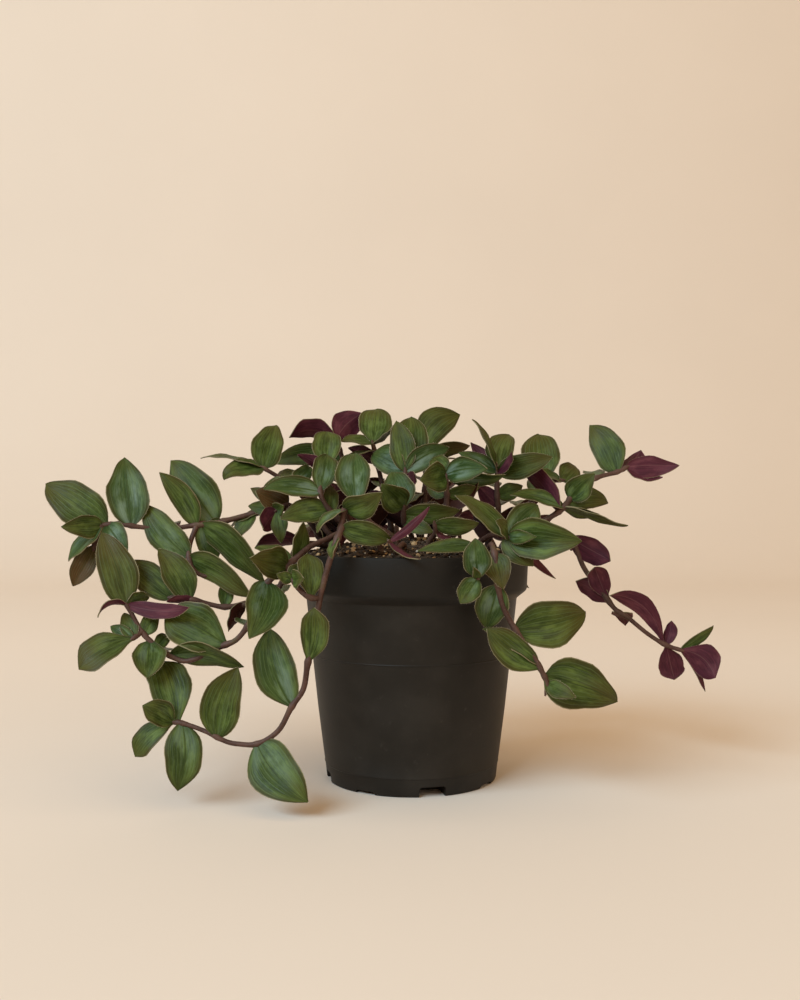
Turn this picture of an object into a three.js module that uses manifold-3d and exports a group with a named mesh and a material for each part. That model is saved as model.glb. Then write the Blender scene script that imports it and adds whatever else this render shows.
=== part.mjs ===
// A potted tradescantia: a round plastic nursery pot, its soil, and the leafy stems that stand in
// the soil and trail over the rim. Millimetres, +Z up, origin at the middle of the pot's flat base.
// +X is to the right and -Y towards the viewer of the photograph.
import * as THREE from "three";
import { mergeVertices } from "three/addons/utils/BufferGeometryUtils.js";
import Module from "manifold-3d";

const wasm = await Module();
wasm.setup();

// ---- Driving dimensions -----------------------------------------------------------------------

const POT_HEIGHT = 115;
const RIM_RADIUS = 60;
const COLLAR_FOOT = 96.2; // height at which the collar's upright wall starts
const COLLAR_UNDERSIDE = 92.4; // height at which the body runs into the collar
const BODY_TOP_RADIUS = 54;
const BODY_LOW_RADIUS = 48;
const BODY_LOW_HEIGHT = 37;
const BASE_RADIUS = 43.2;
const WALL = 1.2;
const FLOOR = 2.2;
const POT_SIDES = 40;

const CHANNEL_COUNT = 4;
const CHANNEL_TURN = 13; // degrees from straight ahead to the first drainage channel
const CHANNEL_WIDTH = 13;
const CHANNEL_HEIGHT = 5;
const CHANNEL_LENGTH = 14; // how far a channel reaches in from the pot's edge
const DRAIN_RADIUS = 3.2;
const SCALLOP_HEIGHT = 1.6; // the shallow notch between two channels
const SCALLOP_WIDTH = 11;

const CLEARANCE = 0.35; // between pieces that rest on or stand in each other
const SOIL_EDGE_HEIGHT = 112.6;
const SOIL_CROWN_HEIGHT = 121.5;
const SOIL_SIDES = 24;

const STEM_RADIUS = 1.4;
const STEM_SIDES = 4;
const STEM_STEP = 13; // length of one straight stretch of a stem
const ROOTED_DEPTH = 13; // how far a stem reaches down into the soil
const HOLE_CLEARANCE = 0.6; // around a stem, in its hole and where it leaves it at a slant

const BLADE_THICKNESS = 0.8;
const BLADE_ARCH = 0.06; // rise of a blade's middle, as a share of its length
const BLADE_FOLD = 0.24; // rise of a blade's edges, as a share of its half width
const BLADE_STATIONS = [0.2, 0.5, 0.8]; // where a blade's outline has points, base to tip
const SMALL_BLADE_STATIONS = [0.27, 0.7];
const SMALL_BLADE_LENGTH = 24;

// ---- The photograph's viewpoint ---------------------------------------------------------------
// A stem's bends and a leaf's tip are given as they are seen: pixels across and down the
// 800 x 1000 photograph, and how far behind the pot's axis they lie (negative is nearer).

const VIEW_CENTRE = [400, 500];
const VIEW_FOCAL = 1080;
const VIEW_POINT = new THREE.Vector3(-5.9, -557, 141.7);

function seen(across, down, behind) {
  const scale = (behind - VIEW_POINT.y) / VIEW_FOCAL;
  return new THREE.Vector3(
    VIEW_POINT.x + (across - VIEW_CENTRE[0]) * scale,
    behind,
    VIEW_POINT.z - (down - VIEW_CENTRE[1]) * scale,
  );
}

// ---- The plant as it grows --------------------------------------------------------------------
// leaf(place on its stem, tip's pixels across and down, how much further back the tip lies than
// the foot, width, turn of the blade: 0 shows its upper face to the viewer and 180 its underside,
// fold when it isn't the usual one)

function leaf(place, across, down, lean, width, turn = 0, fold = BLADE_FOLD) {
  return { place, across, down, lean, width, turn, fold };
}

// A leaf that the photograph hides or shows only edge-on, spread level with its upper face to the
// sky: place on its stem, heading in degrees from +X, rise and length in mm.
function spread(place, heading, rise, length) {
  return { place, heading, rise, length };
}

function twig(place, bends, leaves) {
  return { place, bends, leaves };
}

function stem(name, foot, bends, leaves, twigs = []) {
  return { name, foot, bends, leaves, twigs };
}

const STEMS = [
  stem(
    "stem_left_upper",
    [-30, 4],
    [[335, 522, 2], [300, 509, -4], [262, 512, -10], [220, 522, -14], [197, 525, -16], [165, 529, -18],
      [140, 527, -20], [116, 524, -22], [98, 526, -23]],
    [
      leaf(9, 45, 483, 6, 17),
      leaf(9, 62, 527, -14, 11),
      leaf(9, 68, 560, -6, 14, 60),
      leaf(7.4, 124, 457, 15, 19),
      leaf(8.4, 128, 552, -12, 11),
      leaf(4.2, 171, 458, 8, 19),
      leaf(5, 157, 473, -4, 15, -30),
      leaf(4.9, 262, 584, -10, 15, 50),
      leaf(3.9, 203, 531, -2, 7),
      leaf(3, 225, 531, 6, 12, 78),
      leaf(3.2, 233, 541, -6, 10, 40),
      spread(4.6, 100, -2, 26),
      spread(6.3, 78, 2, 27),
      spread(8.3, 112, -1, 23),
    ],
    [
      twig(9, [[95, 545, -24], [92, 561, -25]], [leaf(1, 73, 586, -6, 12)]),
      twig(5, [[190, 544, -20], [189, 557, -23], [193, 569, -25], [204, 576, -26], [216, 573, -25]], [
        leaf(2.1, 144, 504, 8, 17.5),
        leaf(2, 251, 600, -14, 14, 50),
      ]),
    ],
  ),
  stem(
    "stem_left_long",
    [-22, -16],
    [[345, 532, -24], [325, 540, -32], [308, 548, -38], [294, 560, -42], [281, 572, -44], [268, 582, -45],
      [258, 602, -46], [250, 622, -47], [236, 640, -47], [222, 646, -46], [200, 657, -45], [184, 661, -44],
      [166, 653, -43], [150, 641, -42], [138, 625, -41], [131, 612, -40], [124, 601, -39]],
    [
      leaf(4.4, 252, 558, -20, 16),
      leaf(4, 305, 521, 14, 11, 40),
      leaf(4.2, 255, 546, 6, 11, 50),
      leaf(6, 250, 637, -22, 20),
      leaf(9.8, 166, 614, 4, 18),
      leaf(12.8, 243, 672, -6, 16, 50),
      leaf(14, 147, 680, -16, 14),
      leaf(13.6, 170, 634, 10, 8),
      leaf(17, 101, 532, 8, 18),
      leaf(17, 96, 616, -8, 9, 70),
      leaf(17, 190, 613, -14, 8, 130),
      leaf(16.6, 150, 598, 7, 10, 40),
      spread(8.2, 95, 0, 23),
      spread(13.2, 75, -3, 23),
    ],
    [
      twig(14.6, [[130, 641, -46]], [
        leaf(1, 80, 666, -10, 15, 35),
        leaf(0.9, 124, 612, 8, 9),
        leaf(0.8, 110, 626, 4, 7),
      ]),
    ],
  ),
  stem(
    "stem_left_middle",
    [-36, -6],
    [[325, 545, -14], [306, 545, -27], [291, 563, -30], [276, 592, -29], [262, 603, -28], [245, 604, -29],
      [225, 607, -30], [209, 604, -31], [195, 600, -32], [178, 598, -32], [165, 598, -32]],
    [
      leaf(7, 228, 578, 11, 8),
      leaf(6, 229, 631, -8, 10, 130),
      leaf(9.2, 157, 548, 4, 15),
      leaf(11, 150, 588, 16, 12),
      leaf(11, 152, 603, 6, 8),
      leaf(9, 166, 596, -16, 9, 150),
      spread(4.4, 80, 4, 22),
    ],
  ),
  stem(
    "stem_front_left",
    [-16, -34],
    [[352, 523, -42], [345, 510, -48], [341, 528, -53], [335, 545, -57], [327, 570, -58], [320, 598, -58],
      [314, 636, -59], [308, 662, -60], [303, 690, -60], [292, 706, -61], [278, 731, -62], [257, 744, -62],
      [240, 744, -61], [228, 742, -60], [205, 731, -58], [182, 723, -56], [170, 722, -55]],
    [
      leaf(2, 316, 531, -8, 12, 70),
      leaf(2, 381, 500, -16, 13, 20),
      leaf(3, 392, 540, 4, 12, 10),
      leaf(3.6, 331, 558, -6, 8, 60),
      leaf(8, 316, 610, -4, 12),
      leaf(10, 268, 628, 8, 20),
      leaf(12, 308, 798, -2, 21),
      leaf(14.3, 230, 668, 2, 20),
      leaf(16, 178, 791, 4, 17),
      leaf(17, 136, 757, -4, 10, 25),
      leaf(17, 143, 706, -8, 9),
      leaf(16.4, 160, 660, 14, 20),
    ],
    [
      twig(6, [[311, 598, -60], [302, 592, -60], [295, 584, -59], [290, 575, -58]], [
        leaf(1, 308, 553, 4, 13, 20),
        leaf(4, 302, 564, 4, 9),
        leaf(4, 303, 578, -8, 9),
        leaf(3.8, 277, 574, -4, 6),
      ]),
    ],
  ),
  stem(
    "stem_top_left",
    [-38, 20],
    [[332, 512, 18], [304, 494, 16], [282, 479, 12], [260, 466, 10]],
    [
      leaf(4, 273, 424, 22, 17),
      leaf(4, 201, 455, 0, 13, 84),
      leaf(3.8, 226, 471, -12, 14, 58),
      spread(1.7, 128, 5, 22),
      spread(2.8, 80, 7, 23),
    ],
  ),
  stem(
    "stem_back_left",
    [-22, 36],
    [[352, 500, 34], [346, 472, 34], [340, 450, 30], [336, 436, 28]],
    [
      leaf(4, 288, 437, -2, 13, 125),
      leaf(3.8, 364, 413, 12, 15, 180),
      leaf(2.6, 279, 463, 10, 14),
      spread(1.5, 94, 13, 20),
      spread(2.2, 62, 6, 22),
      spread(3.1, 140, 4, 22),
    ],
  ),
  stem(
    "stem_crown_left",
    [-26, -8],
    [[344, 524, -12], [328, 509, -15], [320, 492, -15], [325, 476, -6], [326, 466, 2]],
    [
      leaf(3, 327, 453, 12, 13.5),
      leaf(3, 264, 487, -9, 14, 40),
      leaf(2, 281, 518, -14, 14, 20),
      leaf(5, 329, 430, 16, 17),
      leaf(4.6, 298, 454, 0, 8, 140),
      leaf(1.8, 331, 484, 10, 9, 20),
      spread(1.4, 100, 4, 20),
    ],
  ),
  stem(
    "stem_crown_olive",
    [-42, 6],
    [[318, 532, -2], [304, 516, -6], [288, 505, -10], [274, 512, -16]],
    [
      leaf(3, 256, 491, -8, 15, 10),
      leaf(3, 250, 488, 3, 8),
      leaf(4, 248, 506, 2, 8),
      leaf(4, 283, 506, -8, 8),
      leaf(4, 281, 543, -4, 9),
      leaf(4, 262, 530, -10, 12, 150),
    ],
  ),
  stem(
    "stem_crown_small",
    [-36, -18],
    [[326, 530, -20], [310, 506, -18], [290, 483, -8]],
    [
      leaf(3, 312, 466, 13, 9),
      leaf(3, 263, 486, 9, 10, 20),
    ],
  ),
  stem(
    "stem_crown_front",
    [-8, -24],
    [[374, 520, -28], [362, 498, -28]],
    [
      leaf(2, 353, 451, 22, 18),
      leaf(1.4, 338, 548, -8, 9, 120),
    ],
  ),
  stem(
    "stem_crown_tall",
    [-10, 26],
    [[386, 502, 26], [378, 466, 24], [372, 440, 20]],
    [
      leaf(3, 377, 408, 28, 16),
      leaf(3, 341, 440, -4, 12, 62),
      leaf(2.6, 335, 463, -8, 12, 82),
      leaf(2.9, 398, 422, 2, 12, 70),
      leaf(2.2, 349, 447, 4, 10, 140),
      spread(1.4, 95, 4, 23),
      spread(2, 45, 5, 22),
    ],
  ),
  stem(
    "stem_crown_centre",
    [4, 6],
    [[405, 508, 6], [406, 486, 6], [405, 467, 5]],
    [
      leaf(3, 372, 456, 14, 15),
      leaf(3, 399, 420, 6, 12),
      leaf(3, 410, 416, 18, 17),
      leaf(3, 448, 446, 6, 11),
      leaf(2.2, 418, 474, -10, 9, 160),
      spread(1.1, 60, 6, 20),
      spread(2, 120, 3, 20),
    ],
  ),
  stem(
    "stem_crown_low",
    [0, -12],
    [[404, 522, -18], [404, 503, -22]],
    [
      leaf(2, 383, 486, -12, 14),
      leaf(2, 392, 472, 14, 16),
      leaf(1.4, 461, 511, 2, 11, 20),
      leaf(1, 433, 532, -8, 8),
    ],
  ),
  stem(
    "stem_crown_high",
    [6, 39],
    [[424, 502, 38], [426, 470, 40], [425, 446, 40]],
    [
      leaf(3, 461, 414, 10, 14),
      leaf(2.6, 470, 447, 6, 10, 30),
      spread(1.4, 52, 5, 20),
      spread(2.1, 25, 5, 22),
      spread(2.7, 112, 3, 23),
    ],
  ),
  stem(
    "stem_crown_glossy",
    [20, -8],
    [[446, 518, -10], [447, 494, -12], [446, 471, -12]],
    [
      leaf(3, 420, 479, -14, 14),
      leaf(3, 485, 470, -16, 11),
      leaf(3, 506, 477, 4, 11, 45),
      leaf(2.8, 431, 458, 14, 9),
      leaf(2, 480, 488, 4, 9, 30),
      leaf(2, 426, 487, 8, 9),
      spread(1.4, 62, 3, 20),
    ],
  ),
  stem(
    "stem_crown_right",
    [40, 12],
    [[498, 520, 10], [497, 495, 8], [497, 468, 5]],
    [
      leaf(3, 473, 418, -2, 12, 80),
      leaf(3, 511, 434, 18, 13),
      leaf(3, 552, 457, -9, 13.5),
      leaf(2.9, 514, 451, -14, 8, 120),
      leaf(2.9, 471, 443, 8, 8, 180),
      leaf(2.8, 459, 452, -4, 9, 20),
      leaf(1.6, 478, 486, -2, 10, 180),
      leaf(2, 523, 486, 2, 10, 20),
      spread(1.6, 75, 4, 21),
      spread(2.3, 112, 3, 20),
    ],
  ),
  stem(
    "stem_right_back",
    [36, 34],
    [[512, 522, 34], [532, 500, 32], [545, 483, 30], [565, 480, 30]],
    [
      leaf(3, 541, 434, 24, 19),
      leaf(4, 575, 463, 16, 13),
      leaf(4, 533, 471, -6, 11, 65),
      spread(1.7, 100, 4, 23),
      spread(2.4, 88, 9, 20),
    ],
  ),
  stem(
    "stem_right_upper",
    [46, -4],
    [[524, 528, -2], [547, 519, 0], [564, 507, 2], [575, 491, 6], [596, 478, 10], [617, 472, 13],
      [629, 466, 14]],
    [
      leaf(3, 511, 493, -8, 12, 55),
      leaf(2.6, 506, 459, 9, 13, 128),
      leaf(3.5, 594, 474, -8, 14),
      leaf(3.2, 610, 503, 12, 10),
      leaf(3, 599, 516, 2, 10, 60),
      leaf(3, 627, 530, -8, 12, 75),
      leaf(6, 591, 424, 14, 18),
      leaf(7, 680, 461, -2, 14, 150),
      leaf(6.8, 663, 479, -2, 12, 115),
      leaf(6.4, 646, 452, 12, 10, 60),
      spread(5, 88, 4, 22),
    ],
  ),
  stem(
    "stem_right_trailing",
    [48, 16],
    [[536, 532, 22], [560, 532, 26], [573, 543, 26], [584, 568, 26], [602, 592, 26], [616, 610, 25],
      [627, 617, 24], [648, 634, 22], [666, 645, 21], [684, 651, 20]],
    [
      leaf(2.6, 611, 554, -10, 15, 180),
      leaf(5.6, 579, 580, 4, 12, 150),
      leaf(5.4, 597, 566, -8, 11, 180),
      leaf(8.8, 621, 593, -8, 14, 180),
      leaf(9, 672, 678, 4, 13, 180),
      leaf(9, 672, 621, 2, 8, 150),
      leaf(10, 718, 667, -6, 18, 180),
      leaf(10, 714, 626, 6, 9, 30),
      leaf(10, 702, 692, 2, 7, 130),
      spread(3, 84, -4, 22),
      spread(6.4, 70, -8, 22),
    ],
  ),
  stem(
    "stem_front_right",
    [32, -30],
    [[492, 535, -40], [512, 538, -48]],
    [
      leaf(2, 581, 540, -16, 20),
      leaf(2, 497, 520, -4, 12, 65),
      leaf(2, 535, 537, -14, 7),
      leaf(1.8, 539, 504, 14, 15),
      leaf(1.8, 456, 493, 6, 14, 45),
      leaf(1.6, 533, 566, -6, 13),
      leaf(1.4, 540, 562, 4, 12, 160),
    ],
    [twig(2, [[535, 552, -46], [545, 566, -46], [553, 578, -46]], [])],
  ),
  stem(
    "stem_right_hanging",
    [26, -36],
    [[492, 545, -52], [496, 562, -58], [498, 585, -58], [503, 606, -58], [513, 626, -59], [528, 648, -60],
      [540, 668, -60], [547, 684, -60], [545, 696, -60]],
    [
      leaf(2.8, 491, 550, 3, 9, 10),
      leaf(3, 486, 629, 6, 16),
      leaf(2.6, 504, 588, -5, 6),
      leaf(5.2, 587, 606, 16, 22),
      leaf(7, 488, 629, -4, 14, 25),
      leaf(6.8, 484, 626, 6, 13, 60),
      leaf(8, 619, 692, 16, 22),
      leaf(8, 575, 697, -12, 8),
    ],
  ),
  stem(
    "stem_front_twin",
    [12, -42],
    [[472, 542, -54], [481, 560, -62], [477, 583, -65]],
    [
      leaf(3, 475, 539, -6, 13),
      leaf(3, 461, 604, -8, 9),
      leaf(0.7, 418, 550, -6, 7.5, 20),
      leaf(3, 474, 568, -8, 4),
    ],
  ),
  stem(
    "stem_front_folded",
    [-4, -36],
    [[396, 549, -46], [388, 540, -56]],
    [
      leaf(2, 431, 507, -4, 5.5, 150, 0.6),
      leaf(2, 420, 561, -12, 5, 120, 0.5),
    ],
  ),
  stem(
    "stem_front_middle",
    [8, -32],
    [[436, 532, -40], [434, 521, -44]],
    [
      leaf(2, 479, 524, -6, 10, 30),
      leaf(1, 458, 540, -2, 8, 110),
    ],
  ),
];

// The stems behind the crown, which the photograph hides, grow by a rule. Each leaves the soil on
// one side, arches out in its own upright plane and carries leaves by turns left and right.
// arching(name, heading in degrees from +X, arch as distances from the axis and heights, leaves,
// shortest and longest leaf, seed)

function arching(name, heading, arch, count, lengths, seed) {
  return { name, heading, arch, count, lengths, seed };
}

const HIDDEN_STEMS = [
  arching("stem_behind_1", 50, [[40, 124], [54, 127], [70, 120], [82, 102], [86, 82]], 5, [23, 27], 3),
  arching("stem_behind_2", 72, [[38, 126], [52, 144], [72, 147], [92, 132], [99, 106], [100, 82]], 7,
    [24, 31], 5),
  arching("stem_behind_3", 96, [[38, 126], [52, 131], [72, 128], [88, 108], [96, 84], [98, 58]], 7,
    [24, 31], 11),
  arching("stem_behind_4", 119, [[38, 126], [52, 143], [72, 146], [90, 133], [97, 110]], 6, [24, 30], 6),
  arching("stem_behind_5", 143, [[40, 125], [54, 130], [70, 126], [84, 110], [90, 90]], 5, [23, 28], 9),
];
const LEAF_START = 1.3; // the place on a hidden stem from which it carries leaves
const LEAF_SPREAD = 0.82; // how far a hidden stem's leaf points sideways
const LEAF_FORWARD = 0.5; // and onwards along the stem
const LEAF_RAISE = 0.28; // and upwards
const LEAF_PROPORTION = 0.54; // its width as a share of its length

// ---- Shapes -----------------------------------------------------------------------------------

function solid(geometry) {
  const bare = geometry.clone();
  bare.deleteAttribute("normal");
  bare.deleteAttribute("uv");
  const merged = mergeVertices(bare, 1e-3);
  return new wasm.Manifold(
    new wasm.Mesh({
      numProp: 3,
      vertProperties: merged.attributes.position.array,
      triVerts: new Uint32Array(merged.index.array),
    }),
  );
}

function placed(geometry, move) {
  move.updateMatrix();
  return geometry.applyMatrix4(move.matrix);
}

function geometryOf(shape) {
  const mesh = shape.getMesh();
  const geometry = new THREE.BufferGeometry();
  geometry.setAttribute("position", new THREE.BufferAttribute(mesh.vertProperties, 3));
  geometry.setIndex(new THREE.BufferAttribute(mesh.triVerts, 1));
  geometry.computeVertexNormals();
  return geometry;
}

function turned(profile, sides) {
  const points = profile.map(([radius, height]) => new THREE.Vector2(radius, height));
  return solid(new THREE.LatheGeometry(points, sides).rotateX(Math.PI / 2));
}

// A leaf's half width along its length: rounded at the foot, widest before the middle, pointed.
function outline(share) {
  return 2.49 * Math.pow(share, 0.55) * Math.pow(1 - share, 0.8);
}

// One thin blade with a folded midrib, pointed at its foot and its tip. Both faces are split into
// triangles alike.
function blade(foot, tip, width, facing, fold) {
  const axis = tip.clone().sub(foot);
  const length = axis.length();
  axis.normalize();
  const up = facing.clone().addScaledVector(axis, -facing.dot(axis)).normalize();
  const side = new THREE.Vector3().crossVectors(axis, up);
  const stations = length < SMALL_BLADE_LENGTH ? SMALL_BLADE_STATIONS : BLADE_STATIONS;

  function point(share, across, face) {
    const half = (width / 2) * outline(share);
    const rise = BLADE_ARCH * length * 4 * share * (1 - share) + fold * half * across * across;
    return foot
      .clone()
      .addScaledVector(axis, length * share)
      .addScaledVector(side, half * across)
      .addScaledVector(up, rise + (face * BLADE_THICKNESS) / 2);
  }

  const rowsOf = (face) => stations.map((share) => [-1, 0, 1].map((across) => point(share, across, face)));
  const positions = [];
  const triangle = (...corners) => corners.forEach((corner) => positions.push(...corner.toArray()));

  function skin(rows, turnedOver) {
    const add = (a, b, c) => (turnedOver ? triangle(a, c, b) : triangle(a, b, c));
    for (const column of [0, 1]) {
      add(foot, rows[0][column + 1], rows[0][column]);
      for (let row = 0; row < rows.length - 1; row++) {
        add(rows[row][column], rows[row + 1][column + 1], rows[row + 1][column]);
        add(rows[row][column], rows[row][column + 1], rows[row + 1][column + 1]);
      }
      add(tip, rows[rows.length - 1][column], rows[rows.length - 1][column + 1]);
    }
  }

  function rim(column, turnedOver) {
    const add = (a, b, c) => (turnedOver ? triangle(a, c, b) : triangle(a, b, c));
    const above = upper.map((row) => row[column]);
    const below = lower.map((row) => row[column]);
    const last = above.length - 1;
    add(foot, above[0], below[0]);
    for (let row = 0; row < last; row++) {
      add(above[row], above[row + 1], below[row + 1]);
      add(above[row], below[row + 1], below[row]);
    }
    add(above[last], tip, below[last]);
  }

  const upper = rowsOf(1);
  const lower = rowsOf(-1);
  skin(upper, false);
  skin(lower, true);
  rim(0, false);
  rim(2, true);
  const geometry = new THREE.BufferGeometry();
  geometry.setAttribute("position", new THREE.Float32BufferAttribute(positions, 3));
  return solid(geometry);
}

function courseOf(points) {
  const curve = new THREE.CatmullRomCurve3(points, false, "centripetal");
  const steps = Math.max(4, Math.round(curve.getLength() / STEM_STEP));
  return { curve, steps };
}

function tube(points, radius = STEM_RADIUS) {
  const { curve, steps } = courseOf(points);
  const section = new THREE.Shape();
  for (let side = 0; side < STEM_SIDES; side++) {
    const angle = (2 * Math.PI * side) / STEM_SIDES;
    const corner = [radius * Math.cos(angle), radius * Math.sin(angle)];
    if (side === 0) section.moveTo(...corner);
    else section.lineTo(...corner);
  }
  return solid(new THREE.ExtrudeGeometry(section, { steps, bevelEnabled: false, extrudePath: curve }));
}

function soilHeight(x, y) {
  const share = Math.min(1, Math.hypot(x, y) / (RIM_RADIUS - WALL));
  return SOIL_EDGE_HEIGHT + (SOIL_CROWN_HEIGHT - SOIL_EDGE_HEIGHT) * (1 - share * share);
}

// The direction that a leaf's upper face looks in.
function facingOf(foot, tip, turn) {
  const axis = tip.clone().sub(foot).normalize();
  const towardsViewer = VIEW_POINT.clone().sub(foot.clone().add(tip).multiplyScalar(0.5));
  towardsViewer.addScaledVector(axis, -towardsViewer.dot(axis)).normalize();
  return towardsViewer.applyAxisAngle(axis, THREE.MathUtils.degToRad(turn));
}

// Where a place such as 2.5, halfway from the second bend to the third, is along a stem.
function along(points, place) {
  const lower = Math.min(Math.floor(place), points.length - 1);
  const upper = Math.min(lower + 1, points.length - 1);
  return points[lower].clone().lerp(points[upper], place - lower);
}

// The point of a stem's middle line that is nearest to a given one, short of the stem's very end:
// what grows from the stem starts there.
function seated(points, point) {
  const { curve, steps } = courseOf(points);
  const stops = curve.getSpacedPoints(steps);
  const lastStretch = stops[steps].clone().sub(stops[steps - 1]);
  stops[steps].addScaledVector(lastStretch.normalize(), -STEM_RADIUS);
  let nearest = stops[0];
  for (let index = 0; index < steps; index++) {
    const line = new THREE.Line3(stops[index], stops[index + 1]);
    const here = line.closestPointToPoint(point, true, new THREE.Vector3());
    if (here.distanceTo(point) < nearest.distanceTo(point)) nearest = here;
  }
  return nearest;
}

function seenLeaves(run, points, list) {
  return list.map((one) => {
    const foot = seated(run, along(points, one.place));
    if (one.heading !== undefined) return spreadLeaf(foot, one);
    const tip = seen(one.across, one.down, foot.y + one.lean);
    return { foot, tip, width: one.width, facing: facingOf(foot, tip, one.turn), fold: one.fold };
  });
}

function spreadLeaf(foot, one) {
  const heading = THREE.MathUtils.degToRad(one.heading);
  const flat = Math.sqrt(one.length * one.length - one.rise * one.rise);
  const reach = new THREE.Vector3(flat * Math.cos(heading), flat * Math.sin(heading), one.rise);
  const tip = foot.clone().add(reach);
  const width = one.length * LEAF_PROPORTION;
  return { foot, tip, width, facing: new THREE.Vector3(0, 0, 1), fold: BLADE_FOLD };
}

function rooted(x, y) {
  const ground = soilHeight(x, y);
  return [new THREE.Vector3(x, y, ground - ROOTED_DEPTH), new THREE.Vector3(x, y, ground + 2)];
}

// A stem that the photograph shows: its own run, its twigs' runs, and every leaf on them.
function seenStem(growth) {
  const root = rooted(...growth.foot);
  const bends = [root[1], ...growth.bends.map((bend) => seen(...bend))];
  const runs = [[root[0], ...bends]];
  const blades = seenLeaves(runs[0], bends, growth.leaves);
  for (const branch of growth.twigs) {
    const start = seated(runs[0], along(bends, branch.place));
    const reach = [start, ...branch.bends.map((bend) => seen(...bend))];
    runs.push(reach);
    blades.push(...seenLeaves(reach, reach, branch.leaves));
  }
  return { name: growth.name, foot: growth.foot, runs, blades };
}

// Even draws between 0 and 1 that are the same on every run.
function draws(seed) {
  let state = seed * 7919;
  return () => {
    state = (state * 1103515245 + 12345) % 2147483648;
    return state / 2147483648;
  };
}

function hiddenStem(growth) {
  const draw = draws(growth.seed);
  const heading = THREE.MathUtils.degToRad(growth.heading);
  const out = new THREE.Vector3(Math.cos(heading), Math.sin(heading), 0);
  const up = new THREE.Vector3(0, 0, 1);
  const side = new THREE.Vector3().crossVectors(out, up);
  const [first] = growth.arch;
  const foot = [out.x * (first[0] - 6), out.y * (first[0] - 6)];
  const root = rooted(...foot);
  const bends = growth.arch.map(([reach, height]) => out.clone().multiplyScalar(reach).setZ(height));
  const run = [...root, ...bends];
  const reachOf = run.slice(1);
  const blades = [];
  for (let index = 0; index < growth.count; index++) {
    const share = (index + 1) / growth.count;
    const place = LEAF_START + (reachOf.length - 1 - LEAF_START) * share;
    const start = seated(run, along(reachOf, place));
    const ahead = along(reachOf, Math.min(place + 0.3, reachOf.length - 1));
    const onward = ahead.sub(along(reachOf, place - 0.3)).normalize();
    const hand = index % 2 ? 1 : -1;
    const last = index === growth.count - 1;
    const spread = (last ? 0.2 : LEAF_SPREAD) * hand * (0.85 + 0.3 * draw());
    const way = onward.clone().multiplyScalar(last ? 1 : LEAF_FORWARD);
    way.addScaledVector(side, spread).addScaledVector(up, LEAF_RAISE * (0.6 + 0.8 * draw())).normalize();
    const length = growth.lengths[0] + (growth.lengths[1] - growth.lengths[0]) * draw();
    const facing = up.clone().multiplyScalar(0.75).addScaledVector(out, 0.35 + 0.5 * Math.max(0, -onward.z));
    blades.push({
      foot: start,
      tip: start.clone().addScaledVector(way, length),
      width: length * LEAF_PROPORTION,
      facing,
      fold: BLADE_FOLD,
    });
  }
  return { name: growth.name, foot, runs: [run], blades };
}

const GROWTHS = [...STEMS.map(seenStem), ...HIDDEN_STEMS.map(hiddenStem)];

function leafyStem(growth) {
  const tubes = growth.runs.map((run) => tube(run));
  const blades = growth.blades.map((one) => blade(one.foot, one.tip, one.width, one.facing, one.fold));
  return wasm.Manifold.union([...tubes, ...blades]);
}

function block(width, depth, height, angle, reach, base) {
  const holder = new THREE.Object3D();
  holder.rotation.z = THREE.MathUtils.degToRad(angle - 90);
  const inner = new THREE.Object3D();
  inner.position.set(0, reach, base + height / 2);
  holder.add(inner);
  holder.updateMatrixWorld(true);
  return solid(new THREE.BoxGeometry(width, depth, height).applyMatrix4(inner.matrixWorld));
}

function post(radius, low, high, x, y, sides) {
  const move = new THREE.Object3D();
  move.rotation.x = Math.PI / 2;
  move.position.set(x, y, (low + high) / 2);
  return solid(placed(new THREE.CylinderGeometry(radius, radius, high - low, sides), move));
}

function nurseryPot() {
  const lip = RIM_RADIUS - WALL;
  const profile = [
    [0, 0],
    [BASE_RADIUS, 0],
    [BODY_LOW_RADIUS, BODY_LOW_HEIGHT],
    [BODY_TOP_RADIUS, COLLAR_UNDERSIDE],
    [RIM_RADIUS - 1.2, COLLAR_FOOT],
    [RIM_RADIUS - 0.9, COLLAR_FOOT + 0.8],
    [RIM_RADIUS, POT_HEIGHT - 0.7],
    [RIM_RADIUS - 0.4, POT_HEIGHT],
    [lip, POT_HEIGHT],
    [lip - 0.8, COLLAR_FOOT + 1.2],
    [BODY_TOP_RADIUS - WALL, COLLAR_UNDERSIDE + 0.8],
    [BODY_LOW_RADIUS - WALL, BODY_LOW_HEIGHT],
    [BASE_RADIUS - WALL + 0.3, FLOOR],
    [0, FLOOR],
  ];
  let pot = turned(profile, POT_SIDES);
  const channelMiddle = BASE_RADIUS - CHANNEL_LENGTH / 2;
  for (let index = 0; index < CHANNEL_COUNT; index++) {
    const angle = -90 + CHANNEL_TURN + (360 / CHANNEL_COUNT) * index;
    const outside = block(
      CHANNEL_WIDTH + 2 * WALL, CHANNEL_LENGTH, CHANNEL_HEIGHT + WALL, angle, channelMiddle - WALL, 0);
    const drain = THREE.MathUtils.degToRad(angle);
    const drainReach = channelMiddle - 1.5;
    pot = pot
      .add(outside)
      .subtract(block(CHANNEL_WIDTH, CHANNEL_LENGTH + 8, CHANNEL_HEIGHT, angle, channelMiddle + 4, -0.001))
      .subtract(post(DRAIN_RADIUS, 1, CHANNEL_HEIGHT + 3, drainReach * Math.cos(drain),
        drainReach * Math.sin(drain), 8));
    const between = angle + 180 / CHANNEL_COUNT;
    pot = pot.subtract(block(SCALLOP_WIDTH, 8, SCALLOP_HEIGHT, between, BASE_RADIUS, -0.001));
  }
  return pot;
}

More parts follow.
